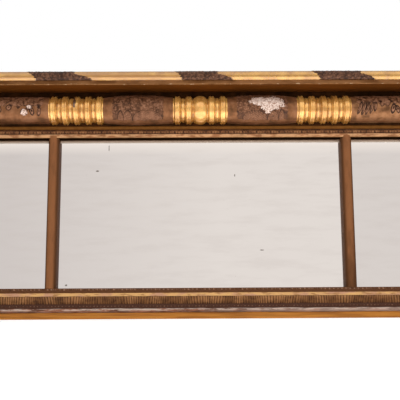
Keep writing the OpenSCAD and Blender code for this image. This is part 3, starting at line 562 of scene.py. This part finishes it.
def reededRadius(plainMiddle, s):
    # five humps with twin reeds, a low reed between each two, and a torus in the middle where wanted
    off = s - reeds["length"] / 2
    if reeds["length"] / 2 - abs(off) < reeds["endLength"]:
        return reeds["endRadius"]
    rounds = []
    for n in range(-2, 3):
        if plainMiddle and n == 0:
            rounds.append((0, *reeds["torus"]))
            continue
        rounds.append((n * reeds["pitch"], *reeds["hump"]))
        rounds += [(n * reeds["pitch"] + side * reeds["reedOff"], *reeds["reed"]) for side in (-1, 1)]
    for n in (-1.5, -0.5, 0.5, 1.5):
        if not plainMiddle or abs(n) > 1:
            rounds.append((n * reeds["pitch"], *reeds["lowReed"]))
    tops = [centre + math.sqrt(size ** 2 - (off - middle) ** 2)
            for middle, size, centre in rounds if abs(off - middle) < size]
    return max([turning["groove"], *tops])


def turnHalf(sections, centre, upright=False):
    # an outline spun half a turn in front of its axis, and closed;
    # each section is (start, end, its profile)
    bm, relief = newMesh()
    outline = [(sections[0][0], 0)]
    for start, end, profile in sections:
        step, radiusAt = profiles[profile]
        count = max(1, round((end - start) / step))
        outline += [(start + (end - start) * n / count, radiusAt((end - start) * n / count)) for n in range(count + 1)]
    outline.append((sections[-1][1], 0))
    line = []
    for s, r in outline:
        corner = (centre[0] - r, centre[1], s) if upright else (s, centre[1], centre[2] + r)
        line.append(bm.verts.new(Vector(corner) * mm))
        line[-1][relief] = (r - turning["groove"]) / turning["relief"]
    edges = [bm.edges.new(pair) for pair in zip(line, line[1:])]
    bmesh.ops.spin(bm, geom=line + edges, cent=Vector(centre) * mm, axis=(0, 0, 1) if upright else (1, 0, 0),
                   angle=math.pi, steps=turning["steps"])
    bmesh.ops.remove_doubles(bm, verts=bm.verts, dist=0.005 * mm)
    bmesh.ops.holes_fill(bm, edges=[edge for edge in bm.edges if edge.is_boundary])
    bmesh.ops.recalc_face_normals(bm, faces=bm.faces)
    return bm


def plainRadius(s):
    return turning["plain"]


# where the sections of the top column end, from its middle, and those of a side column, from its foot
centreEnd, darkEnd, giltEnd, outerEnd, collarEnd = 78, 278, 434, 658, 670
sideEnds = (102, 114, 248.5, 404.5, 539, 551)
darkRadius = partial(swellRadius, darkEnd - centreEnd, turning["swell"])
sideRadius = partial(swellRadius, sideEnds[2] - sideEnds[1], turning["sideSwell"])
# a profile is the step along it and the radius at a distance from its start
profiles = {"reeds": (0.6, partial(reededRadius, False)), "middleReeds": (0.6, partial(reededRadius, True)),
            "swell": (4, darkRadius), "sideSwell": (4, sideRadius), "plain": (8, plainRadius),
            "collar": (0.5, collarRadius)}
# the finish and the sections of each piece of the top column
topColumn = {
    "gilt_centre": ("reedGilding", [(-centreEnd, centreEnd, "middleReeds")]),
    "gilt_left": ("stainedReedGilding", [(-giltEnd, -darkEnd, "reeds")]),
    "gilt_right": ("reedGilding", [(darkEnd, giltEnd, "reeds")]),
    "dark_left": ("bronzed", [(-darkEnd, -centreEnd, "swell")]),
    "dark_right": ("bronzed", [(centreEnd, darkEnd, "swell")]),
    "outer_left": ("bronzed", [(-collarEnd, -outerEnd, "collar"), (-outerEnd, -giltEnd, "plain")]),
    "outer_right": ("bronzedPale", [(giltEnd, outerEnd, "plain"), (outerEnd, collarEnd, "collar")]),
}
for name, (finish, sections) in topColumn.items():
    bm = turnHalf(sections, (0, columnY, columnZ))
    slot = "gilt" if name.startswith("gilt") else "dark_turning"
    finishPiece(bm, "turned_" + name, [finish], ["column_" + name])
# a side column is one turning, gilt along its reeded middle
sideProfiles = ("collar", "sideSwell", "reeds", "sideSwell", "collar")
giltLow, giltHigh = sideEnds[2] * mm, sideEnds[3] * mm
for side, x in (("left", -sideColumnX), ("right", sideColumnX)):
    bm = turnHalf(list(zip(sideEnds, sideEnds[1:], sideProfiles)), (x, columnY, 0), True)
    for face in bm.faces:
        face.material_index = 1 if giltLow < face.calc_center_median().z < giltHigh else 0
    finishPiece(bm, "turned_side_" + side, ["bronzed", "reedGilding"], ["side_column_" + side])
print("columns turned")


def newField(length, girth, step, base=0.0):
    # pressed relief as heights in mm over a strip: s runs along it, a across it
    along, across = round(length / step), round(girth / step)
    return {"length": length, "girth": girth, "stepS": length / along, "stepA": girth / across,
            "rows": [[base] * (across + 1) for i in range(along + 1)]}


def nearCells(field, s, a, reach):
    lowS, highS = max(0, math.ceil((s - reach) / field["stepS"])), int((s + reach) / field["stepS"])
    lowA, highA = max(0, math.ceil((a - reach) / field["stepA"])), int((a + reach) / field["stepA"])
    for i in range(lowS, min(highS, len(field["rows"]) - 1) + 1):
        for j in range(lowA, min(highA, len(field["rows"][0]) - 1) + 1):
            yield i, j, i * field["stepS"] - s, j * field["stepA"] - a


def stampLeaf(field, s, a, turn, length, width, height):
    # a lobed leaf from its stem at (s, a), with a midrib cut in it
    c, t = math.cos(turn), math.sin(turn)
    for i, j, ds, da in nearCells(field, s, a, length):
        along = (ds * c + da * t) / length
        if not 0 < along < 1:
            continue
        across = abs(da * c - ds * t)
        half = width / 2 * math.sin(math.pi * along ** 0.7) * (1 + 0.2 * math.sin(along * 28))
        if across < half:
            rise = height * (0.4 + 0.6 * math.sin(math.pi * along)) * math.sqrt(1 - (across / half) ** 2)
            rise -= 0.5 * math.exp(-(across / 0.8) ** 2)
            field["rows"][i][j] = max(field["rows"][i][j], rise)


def stampBerry(field, s, a, radius, height):
    for i, j, ds, da in nearCells(field, s, a, radius):
        far = (ds * ds + da * da) / radius ** 2
        if far < 1:
            field["rows"][i][j] = max(field["rows"][i][j], height * math.sqrt(1 - far))


def stampScroll(field, s, a, wide, tall, lean=0.0):
    # a curled leaf end: a raised lobe with a sunk outline and a sunk eye
    c, t = math.cos(lean), math.sin(lean)
    for i, j, ds, da in nearCells(field, s, a, max(wide, tall) * 1.1):
        across, up = (ds * c + da * t) / wide, (da * c - ds * t) / tall
        far = math.hypot(across, up)
        if far < 1.1:
            # a narrow one has a slit in place of the eye
            eye = math.hypot(across, up - 0.15) < 0.3 if wide > 5 else abs(across + 0.1) < 0.18 and abs(up) < 0.55
            rim = far > 0.66
            field["rows"][i][j] = 0.15 if eye or rim else 1.5 * math.sqrt(1 - (far / 0.7) ** 2) + 0.4


def pressField(field, place, top, bareBelow=None):
    # a grid bent on to its carrier by place(s, a, height), its bare cells cut away
    along, across = len(field["rows"]) - 1, len(field["rows"][0]) - 1
    bm, relief = newMesh()
    bmesh.ops.create_grid(bm, x_segments=along, y_segments=across, size=0.5)
    bare = set()
    for vert in bm.verts:
        i, j = round((vert.co.x + 0.5) * along), round((vert.co.y + 0.5) * across)
        height = field["rows"][i][j]
        vert[relief] = height / top
        if bareBelow is not None and height < bareBelow:
            bare.add(vert)
            height = -0.5
        vert.co = Vector(place(i * field["stepS"], j * field["stepA"], height)) * mm
    gone = [face for face in bm.faces if all(vert in bare for vert in face.verts)]
    bmesh.ops.delete(bm, geom=gone, context="FACES")
    bmesh.ops.recalc_face_normals(bm, faces=bm.faces)
    return bm


def joinMesh(bm, other):
    mesh = bpy.data.meshes.new("part")
    other.to_mesh(mesh)
    bm.from_mesh(mesh)
    bpy.data.meshes.remove(mesh)
    other.free()


# sleeves of pressed leaves on the dark turnings
sleeve = {"thick": 2.0, "base": 0.45, "step": 1.05, "leaf": 10, "leafWide": 4.4, "berry": 1.6, "perLeaf": 20,
          "archTop": 0.41, "archRise": 24, "foot": 0.2, "bareBelow": 0.12, "seed": 7, "inset": 26,
          "length": 148, "radius": 45, "outerInset": 12, "outerLength": 200, "outerRadius": 40, "sideInset": 12,
          "sideLength": 110.5, "sideRadius": 44, "chipGround": 0.5,
          "chips": {"left": ((57, 0.39, 11), (42, 0.51, 9)), "right": ()}}


def dressSleeve(field, rng, lowerEdge, scale=1.0):
    # small leaves and fruit above the lower edge, most of them pointing along the column
    count = int(field["length"] * (field["girth"] - lowerEdge) / sleeve["perLeaf"])
    for n in range(count):
        s, a = rng.uniform(-4, field["length"] + 2), rng.uniform(lowerEdge, field["girth"])
        if rng.random() < 0.25:
            stampBerry(field, s, a, sleeve["berry"] * rng.uniform(0.7, 1.3), sleeve["thick"] * 0.7)
            continue
        turn = (0 if s > field["length"] / 2 else math.pi) + rng.gauss(0, 0.9)
        size = scale * rng.uniform(0.6, 1.2)
        stampLeaf(field, s, a, turn, sleeve["leaf"] * size, sleeve["leafWide"] * size,
                  sleeve["thick"] * rng.uniform(0.5, 0.9))


def fullSleeve(length, girth, seed, arches):
    # leaves all over, with large smooth leaf tips along the lower side, thinly outlined
    rng = random.Random(seed)
    field = newField(length, girth, sleeve["step"], sleeve["base"])
    dressSleeve(field, rng, girth * sleeve["archTop"] * 0.93)
    for middle, half, veins in arches:
        top = girth * sleeve["archTop"] + rng.uniform(-2, 2)
        for i, j, ds, da in nearCells(field, middle, top - 20, half + 34):
            up = da - 20 + sleeve["archRise"]
            far = math.hypot(ds / half, max(0, up) / sleeve["archRise"])
            if far < 1:
                vein = veins * math.sin(ds * 1.5 - da * 0.9) + rng.uniform(-0.75, 0.3)
                field["rows"][i][j] = sleeve["thick"] * (0.62 - 0.1 * far ** 6) + vein
            elif far < 1 + 1.5 / half:
                field["rows"][i][j] = 0.2
    for i, row in enumerate(field["rows"]):
        s = i * field["stepS"]
        end = min(s, length - s)
        for j in range(len(row)):
            ragged = 1.6 + 1.3 * math.sin(j * 0.45) + 0.8 * math.sin(j * 1.7 + seed)
            foot = girth * sleeve["foot"] + 1.5 * math.sin(s / 5) + math.sin(s / 1.9)
            bare = end < ragged or j * field["stepA"] < foot
            row[j] = 0.0 if bare else max(0.15, row[j] + rng.uniform(-0.16, 0.16))
    return field


def outerSleeve(length, girth, seed, scrolls):
    # leaves on the upper side only, over a wandering edge, with a few curled ends below it
    rng = random.Random(seed)
    field = newField(length, girth, sleeve["step"])
    dressSleeve(field, rng, girth * 0.56, 1.5)
    for i, row in enumerate(field["rows"]):
        s = i * field["stepS"]
        edge = 0.54 + 0.045 * math.sin(s / 9 + seed) + 0.03 * math.sin(s / 3.1)
        for j in range(len(row)):
            if j / (len(row) - 1) < edge or s < 4 + 2 * math.sin(j * 0.5) or s > length - 3:
                row[j] = 0.0
            else:
                row[j] = max(row[j], sleeve["base"] * 0.6) + rng.uniform(-0.1, 0.12)
    for s, a, wide, tall, lean in scrolls:
        stampScroll(field, s, a * girth, wide, tall, lean)
    return field


def roundColumn(radiusAt, start, girth, towards=1, x=None):
    # bends a field round the top column, towards -1 for left and 1 for right, or round an upright one at x
    def place(s, a, height):
        angle = math.pi * a / girth - math.pi / 2
        r = radiusAt(s) + height
        y, off = columnY - r * math.cos(angle), r * math.sin(angle)
        return (towards * (start + s), y, columnZ + off) if x is None else (x + off, y, start + s)
    return place


# scrolls: place from the inner end, share of the girth, half width, half height, lean
scrollsLeft = ((14, 0.4, 5.5, 13, 0.15), (34, 0.41, 6.5, 12, -0.1), (52, 0.42, 5, 8, 0.3), (100, 0.5, 8, 9, 0.4),
               (128, 0.47, 7, 11, -0.3), (160, 0.48, 8, 9, 0.2))
scrollsRight = ((12, 0.47, 4.8, 20, -0.35), (23, 0.46, 5, 21, -0.3), (34, 0.46, 4.8, 20, -0.3),
                (45, 0.47, 4.6, 18, -0.25), (56, 0.49, 4.4, 14, -0.2), (107, 0.45, 7, 15, -0.2),
                (120, 0.43, 6, 12, 0.3), (160, 0.48, 8, 9, 0.2))
# leaf tips: middle from the inner end, half width, how deep their veins are
archesLeft = ((124, 7.5, 0.05), (103, 11.5, 0.1), (47, 41, 0.4))
archesRight = ((53, 34, 0.6), (105, 15, 0.3), (129, 7, 0.2))
archesSide = ((18, 12, 0.1), (50, 18, 0.4), (84, 13, 0.1))
for side, towards, finish, outerFinish, arches, scrolls in (
        ("left", -1, "ornament", "ornamentOuter", archesLeft, scrollsLeft),
        ("right", 1, "ornamentChipped", "ornament", archesRight, scrollsRight)):
    seed = sleeve["seed"] + (towards < 0)
    girth = math.pi * sleeve["radius"]
    field = fullSleeve(sleeve["length"], girth, seed, arches)
    place = roundColumn(lambda s: darkRadius(s + sleeve["inset"]), centreEnd + sleeve["inset"], girth, towards)
    bm = pressField(field, place, sleeve["thick"], sleeve["bareBelow"])
    finishPiece(bm, "pressed_sleeve_" + side, [finish], ["leaf_sleeve_" + side], 180)
    girth = math.pi * sleeve["outerRadius"]
    field = outerSleeve(sleeve["outerLength"], girth, seed + 20, scrolls)
    for s, share, radius in sleeve["chips"][side]:
        # what is left of the ground where a chip has fallen out
        stampBerry(field, s, girth * share, radius, sleeve["chipGround"])
    place = roundColumn(plainRadius, giltEnd + sleeve["outerInset"], girth, towards)
    bm = pressField(field, place, sleeve["thick"], sleeve["bareBelow"])
    finishPiece(bm, "pressed_sleeve_outer_" + side, [outerFinish], ["leaf_sleeve_outer_" + side], 180)
bm = newMesh()[0]
girth = math.pi * sleeve["sideRadius"]
for x in (-sideColumnX, sideColumnX):
    for foot in (sideEnds[1], sideEnds[3]):
        start = foot + sleeve["sideInset"]
        field = fullSleeve(sleeve["sideLength"], girth, sleeve["seed"] + int(start) + (x > 0), archesSide)
        place = roundColumn(lambda s: sideRadius(s + sleeve["sideInset"]), start, girth, x=x)
        joinMesh(bm, pressField(field, place, sleeve["thick"], sleeve["bareBelow"]))
finishPiece(bm, "pressed_sleeves_side", ["ornament"], ["side_leaf_sleeves"], 180)
print("column sleeves pressed")


# leaf wraps on the torus: left and right ends of the lower and upper edge, from each wrap's own middle
wraps = {"radius": 15, "axisY": -48.25, "axisZ": 678, "axisX": 785, "halfAngle": 64, "thick": 2.0, "base": 0.4,
         "step": 1.0, "middle": ((-400, -61, 96, -78, 46), (0, -50, 93, -63, 48), (400, -60, 94, -76, 53)),
         "leaf": 11, "leafWide": 5, "perLeaf": 17, "margin": 12, "bareBelow": 0.2, "end": 800, "corner": 70,
         "endReach": (-62, 8), "low": 665, "high": 691, "seed": 31}


def wrapField(rng, low0, low1, high0, high1):
    # leaves over the torus, bare outside the slanted ends
    girth = wraps["radius"] * math.radians(2 * wraps["halfAngle"])
    start = min(low0, high0) - wraps["margin"]
    length = max(low1, high1) + wraps["margin"] - start
    field = newField(length, girth, wraps["step"], wraps["base"])
    for n in range(int(length * girth / wraps["perLeaf"])):
        s, a = rng.uniform(0, length), rng.uniform(-2, girth)
        turn = (0 if s > length / 2 else math.pi) + rng.gauss(0, 0.7)
        size = rng.uniform(0.6, 1.2)
        stampLeaf(field, s, a, turn, wraps["leaf"] * size, wraps["leafWide"] * size,
                  wraps["thick"] * rng.uniform(0.5, 1))
    for i, row in enumerate(field["rows"]):
        for j in range(len(row)):
            s, up = i * field["stepS"] + start, j / (len(row) - 1)
            ragged = 1.8 * math.sin(j * 0.9 + low0) + 1.4 * math.sin(j * 2.3 + high1)
            first = low0 + (high0 - low0) * (up / 0.7) ** 1.6 + ragged
            last = low1 + (high1 - low1) * min(1, up / 0.6) ** 2.2 + ragged
            if not first < s < last:
                row[j] = 0.0
    return field, start


def onTorus(field, start, end=None):
    # bends a field over the front torus, or over the one on an end, -1 for left and 1 for right
    def place(s, a, height):
        angle = math.radians(wraps["halfAngle"]) * (2 * a / field["girth"] - 1)
        out = (wraps["radius"] + height) * math.cos(angle)
        up = wraps["axisZ"] + (wraps["radius"] + height) * math.sin(angle)
        up = min(max(up, wraps["low"]), wraps["high"])
        if end is None:
            return start + s, wraps["axisY"] - out, up
        return end * (wraps["axisX"] + out), start + s, up
    return place


bm = newMesh()[0]
rng = random.Random(wraps["seed"])
for middle, *ends in wraps["middle"]:
    field, start = wrapField(rng, *ends)
    joinMesh(bm, pressField(field, onTorus(field, middle + start), wraps["thick"], wraps["bareBelow"]))
for end in (-1, 1):
    # a wrap turns each corner: one half on the front, one on the end
    low, high = sorted((end * wraps["end"], end * (wraps["end"] - wraps["corner"])))
    for reach, turned in (((low, high), None), (wraps["endReach"], end)):
        field, start = wrapField(rng, *reach, *reach)
        joinMesh(bm, pressField(field, onTorus(field, start, turned), wraps["thick"], wraps["bareBelow"]))
finishPiece(bm, "pressed_leaf_wraps", ["wrap"], ["cornice_leaf_wraps"], 180)
print("cornice wraps pressed")


# running ornament: leaves on the sight band, lamb's tongues and beads on the bottom moulding
strips = {"pitch": 8.2, "thick": 2.4, "step": 1.0, "topLength": 1310, "sideLength": 456, "girth": 13,
          "tonguePitch": 6.8, "tongueStep": 0.85, "tongueTall": 1.9}


def runningField(length, girth):
    # small upright leaves with two berries between each two
    field = newField(length, girth, strips["step"], 0.1)
    count = round(length / strips["pitch"])
    for n in range(count):
        # the moulds were not pressed to one depth, nor set quite in line
        s = (n + 0.5) * length / count + 0.9 * math.sin(n * 2.4)
        deep = strips["thick"] * (0.78 + 0.22 * math.sin(n * 0.9 + math.sin(n * 0.31)))
        for lean in (-0.32, 0.0, 0.32):
            stampLeaf(field, s, girth * 0.04, math.pi / 2 + lean, girth * 0.92, 3.2, deep)
        stampBerry(field, s + length / count / 2, girth * 0.25, 1.1, strips["thick"] * 0.5)
        stampBerry(field, s + length / count / 2, girth * 0.8, 0.9, strips["thick"] * 0.5)
    for row in field["rows"]:
        row[0] = row[-1] = 0.0
    return field


def tongueField(length, girth):
    # tall rounded strokes with a sharp groove between, low at the foot
    field = newField(length, girth, strips["tongueStep"])
    count = round(length / strips["tonguePitch"])
    for i, row in enumerate(field["rows"]):
        s = i * field["stepS"]
        for j in range(1, len(row) - 1):
            # the strokes lean one way and the other, and some are worn down
            up = j / (len(row) - 1)
            lean = 0.45 * math.sin(s / 31) * up + 0.22 * math.sin(s / 11)
            phase = abs((s * count / length + lean) % 1 * 2 - 1)
            width = 0.9 * math.sqrt(max(0.0, 1 - (max(0.0, 0.3 - up) / 0.3) ** 2))
            stroke = math.sqrt(1 - (phase / width) ** 2) if phase < width else 0.0
            worn = 0.72 + 0.28 * math.sin(s / 17 + 2 * math.sin(s / 41))
            row[j] = max(0.25, strips["tongueTall"] * worn * stroke * (0.65 + 0.35 * up))
    return field


def onTopSight(s, a, height):
    # mitred at both ends
    z = sight["top"] + sight["strip"] + a
    reach = sight["side"] + z - sight["top"]
    return min(max(s - strips["topLength"] / 2, -reach), reach), carcassFront - sight["stripFront"] - height, z


def onSideSight(turn, s, a, height):
    x = turn * (sight["side"] + sight["strip"] + a)
    return x, carcassFront - sight["stripFront"] - height, min(sight["foot"] + s, sight["top"] + sight["strip"] + a)


# the slope under the tongues: distance in front of the glass and height, at its foot and on its way up
slope = {"foot": (27, 41.5), "rise": (6, 21.5), "girth": 22.3, "length": 1340}


def onRailSlope(s, a, height):
    (depth, z), (out, rise), up = slope["foot"], slope["rise"], a / slope["girth"]
    lean = math.atan2(out, rise)
    y = carcassFront - depth - out * up - height * math.cos(lean)
    return s - slope["length"] / 2, y, z + rise * up - height * math.sin(lean)


for side, length, place in (("top", strips["topLength"], onTopSight),
                            ("left", strips["sideLength"], partial(onSideSight, -1)),
                            ("right", strips["sideLength"], partial(onSideSight, 1))):
    bm = pressField(runningField(length, strips["girth"]), place, strips["thick"])
    bmesh.ops.dissolve_degenerate(bm, dist=0.01 * mm, edges=bm.edges)
    finishPiece(bm, "pressed_strip_" + side, ["strip"], ["ornament_strip_" + side], 180)
bm = pressField(tongueField(slope["length"], slope["girth"]), onRailSlope, strips["thick"])
finishPiece(bm, "pressed_tongue_band", ["tongues"], ["bottom_leaf_strip"], 180)

# bead rows: pitch, radius, height, distance in front of the glass, how much the beads can be rubbed
beadRows = {"small": (9.8, 2.0, 35.5, 26.2, 0.55), "sight": (11.6, 3.1, 81.8, 27.4, 1),
            "between": (11.6, 1.6, 82.2, 27.9, 1)}
beads = {"length": 1334, "long": 1.25, "dark": 0.25, "seed": 5}
bm, relief = newMesh()
rng = random.Random(beads["seed"])
for row, (pitch, radius, z, depth, wear) in beadRows.items():
    count = int(beads["length"] / pitch) - (row == "between")
    for n in range(count):
        x = (n - (count - 1) / 2) * pitch
        middle = (x + rng.uniform(-0.5, 0.5), carcassFront - depth, z + rng.uniform(-0.3, 0.3))
        # all but the smallest are longer than they are high; some are rubbed, some still dark
        shape = (beads["long"] if row != "between" else 1, 1, rng.uniform(0.85, 1), 1)
        spot = Matrix.Translation(Vector(middle) * mm) @ Matrix.Diagonal(shape)
        made = bmesh.ops.create_icosphere(bm, subdivisions=1, radius=radius * mm, matrix=spot)
        rubbed = rng.uniform(0.1, 0.75)
        for vert in made["verts"]:
            out = ((carcassFront - depth) * mm - vert.co.y) / (radius * mm)
            vert[relief] = beads["dark"] + rubbed * wear * out
finishPiece(bm, "pressed_bead_rows", ["beads"], ["bottom_bead_strips"], 180)
print("running ornament pressed")


# rosettes in the corner blocks, in millimetres: each ring of petals is (inner and outer radius, turned by, height)
rosette = {"radius": 38, "back": -31.25, "ground": 1.0, "petals": 8, "height": 7, "rings": 38, "steps": 96,
           "heights": (602, 51), "petalRings": ((13, 35, 0, 4.6), (5, 21, 0.5, 6.2)), "button": 7.5, "rim": 34,
           "rimFoot": 1.6}


def rosetteHeight(r, angle):
    # outer petals, inner petals half a petal round, a button and a rolled rim
    top = rosette["ground"]
    for inner, outer, shift, tall in rosette["petalRings"]:
        if inner < r < outer:
            turnShare = (angle / math.tau * rosette["petals"] + shift) % 1 - 0.5
            along = (r - inner) / (outer - inner)
            width = 0.43 * math.sqrt(math.sin(math.pi * min(1, along * 0.72 + 0.2)))
            if abs(turnShare) < width:
                dome = math.sqrt(1 - (turnShare / width) ** 2)
                rib = 1.1 * math.exp(-(turnShare * r / 1.3) ** 2)
                top = max(top, tall * (0.25 + 0.75 * dome) * (0.7 + 0.3 * math.sin(math.pi * along)) - rib)
    if r < rosette["button"]:
        top = max(top, rosette["height"] * (0.45 + 0.55 * math.sqrt(1 - (r / rosette["button"]) ** 2)))
    if r > rosette["rim"]:
        roll = (rosette["radius"] - rosette["rim"]) / 2
        top = max(top, rosette["rimFoot"] + math.sqrt(max(0, roll ** 2 - (r - rosette["rim"] - roll) ** 2)))
    return top


bm = newMesh()[0]
for x in (-sideColumnX, sideColumnX):
    for z in rosette["heights"]:
        disc, level = newMesh()
        line = [disc.verts.new(Vector((n / rosette["rings"] * rosette["radius"], 0, 0)) * mm)
                for n in range(rosette["rings"] + 1)]
        edges = [disc.edges.new(pair) for pair in zip(line, line[1:])]
        bmesh.ops.spin(disc, geom=line + edges, cent=(0, 0, 0), axis=(0, 1, 0), angle=math.tau, steps=rosette["steps"],
                       use_merge=True)
        bmesh.ops.remove_doubles(disc, verts=disc.verts, dist=0.005 * mm)
        rim = [edge for edge in disc.edges if edge.is_boundary]
        for vert in disc.verts:
            height = rosetteHeight(vert.co.xz.length / mm, math.atan2(vert.co.z, vert.co.x))
            vert[level] = (height - rosette["ground"]) / (rosette["height"] - rosette["ground"]) - 0.25
            vert.co.y = (rosette["back"] - height) * mm
        for part in bmesh.ops.extrude_edge_only(disc, edges=rim)["geom"]:
            if isinstance(part, bmesh.types.BMVert):
                part.co.y = rosette["back"] * mm
        bmesh.ops.holes_fill(disc, edges=[edge for edge in disc.edges if edge.is_boundary])
        bmesh.ops.translate(disc, vec=Vector((x, 0, z)) * mm, verts=disc.verts)
        bmesh.ops.recalc_face_normals(disc, faces=disc.faces)
        joinMesh(bm, disc)
finishPiece(bm, "carved_rosettes", ["rosetteGilding"], ["rosettes"])
print("rosettes carved")


# plain studio: a pale floor, a white surround that camera and plates see, and soft lamps
studio = {"floor": "#e6e4e1", "floorPatch": "#eceae8", "floorSize": 9, "floorLift": 0.62, "world": 0.32,
          "rough": 0.9, "shine": 0.1}

bm = bmesh.new()
bmesh.ops.create_grid(bm, x_segments=1, y_segments=1, size=studio["floorSize"] / 2)
mesh = bpy.data.meshes.new("floor")
bm.to_mesh(mesh)
bm.free()
floor = bpy.data.objects.new("floor", mesh)
scene.collection.objects.link(floor)


def seenShare(add):
    # 1 where the camera looks, straight or off metal and glass; 0 for light that only falls on things
    path = add("LightPath", {}, "Is Camera Ray").node.outputs
    return add("Math", {"operation": "MAXIMUM", 0: path["Is Camera Ray"], 1: path["Is Glossy Ray"]})


material, add, place = startFinish("paleFloor")
tone = layCoats(add, studio["floor"], (patches(add, place, 400, 0.3, 0.7), studio["floorPatch"]))
lift = add("Math", {"operation": "MULTIPLY", 0: seenShare(add), 1: studio["floorLift"]})
mesh.materials.append(closeFinish(material, add, tone, None, studio, glow="#ffffff", glowStrength=lift))

world = bpy.data.worlds.new("studio")
scene.world = world
world.use_nodes = True
world.node_tree.nodes.clear()
add = partial(addNode, world.node_tree)
# white where it is seen, dimmer as light on the object
seen = add("Math", {"operation": "MAXIMUM", 0: seenShare(add), 1: add("LightPath", {}, "Is Transmission Ray")})
strength = add("MapRange", {"Value": seen, "To": (studio["world"], 1)})
add("OutputWorld", {"Surface": add("Background", {"Color": "#ffffff", "Strength": strength})})

# two lamps only light and two only shine in metal and varnish; the lower two lie in front, just above the floor
lamps = {
    "front": {"place": (0.5, -3.2, 1.15), "aim": (0, 0, 0.35), "size": (3, 1.6), "power": 56, "shines": False},
    "below": {"place": (0, -1.35, 0.02), "aim": (0, -1.35, 1), "size": (4, 2.3), "power": 14, "shines": False},
    "high": {"place": (0, -1.6, 2.4), "aim": (0, 0, 0.6), "size": (4, 3), "power": 46, "shines": True},
    "low": {"place": (0.15, -0.62, 0.03), "aim": (0.15, -0.62, 1), "size": (3.4, 1.1), "power": 33, "shines": True},
}
for name, values in lamps.items():
    data = bpy.data.lights.new(name, "AREA")
    data.shape = "RECTANGLE"
    data.size, data.size_y = values["size"]
    data.energy = values["power"]
    lamp = bpy.data.objects.new(name, data)
    lamp.location = values["place"]
    lamp.rotation_mode = "QUATERNION"
    lamp.rotation_quaternion = (Vector(values["aim"]) - Vector(values["place"])).to_track_quat("-Z", "Y")
    lamp.visible_camera = False
    lamp.visible_glossy = values["shines"]
    lamp.visible_diffuse = not values["shines"]
    scene.collection.objects.link(lamp)
print("studio lit")
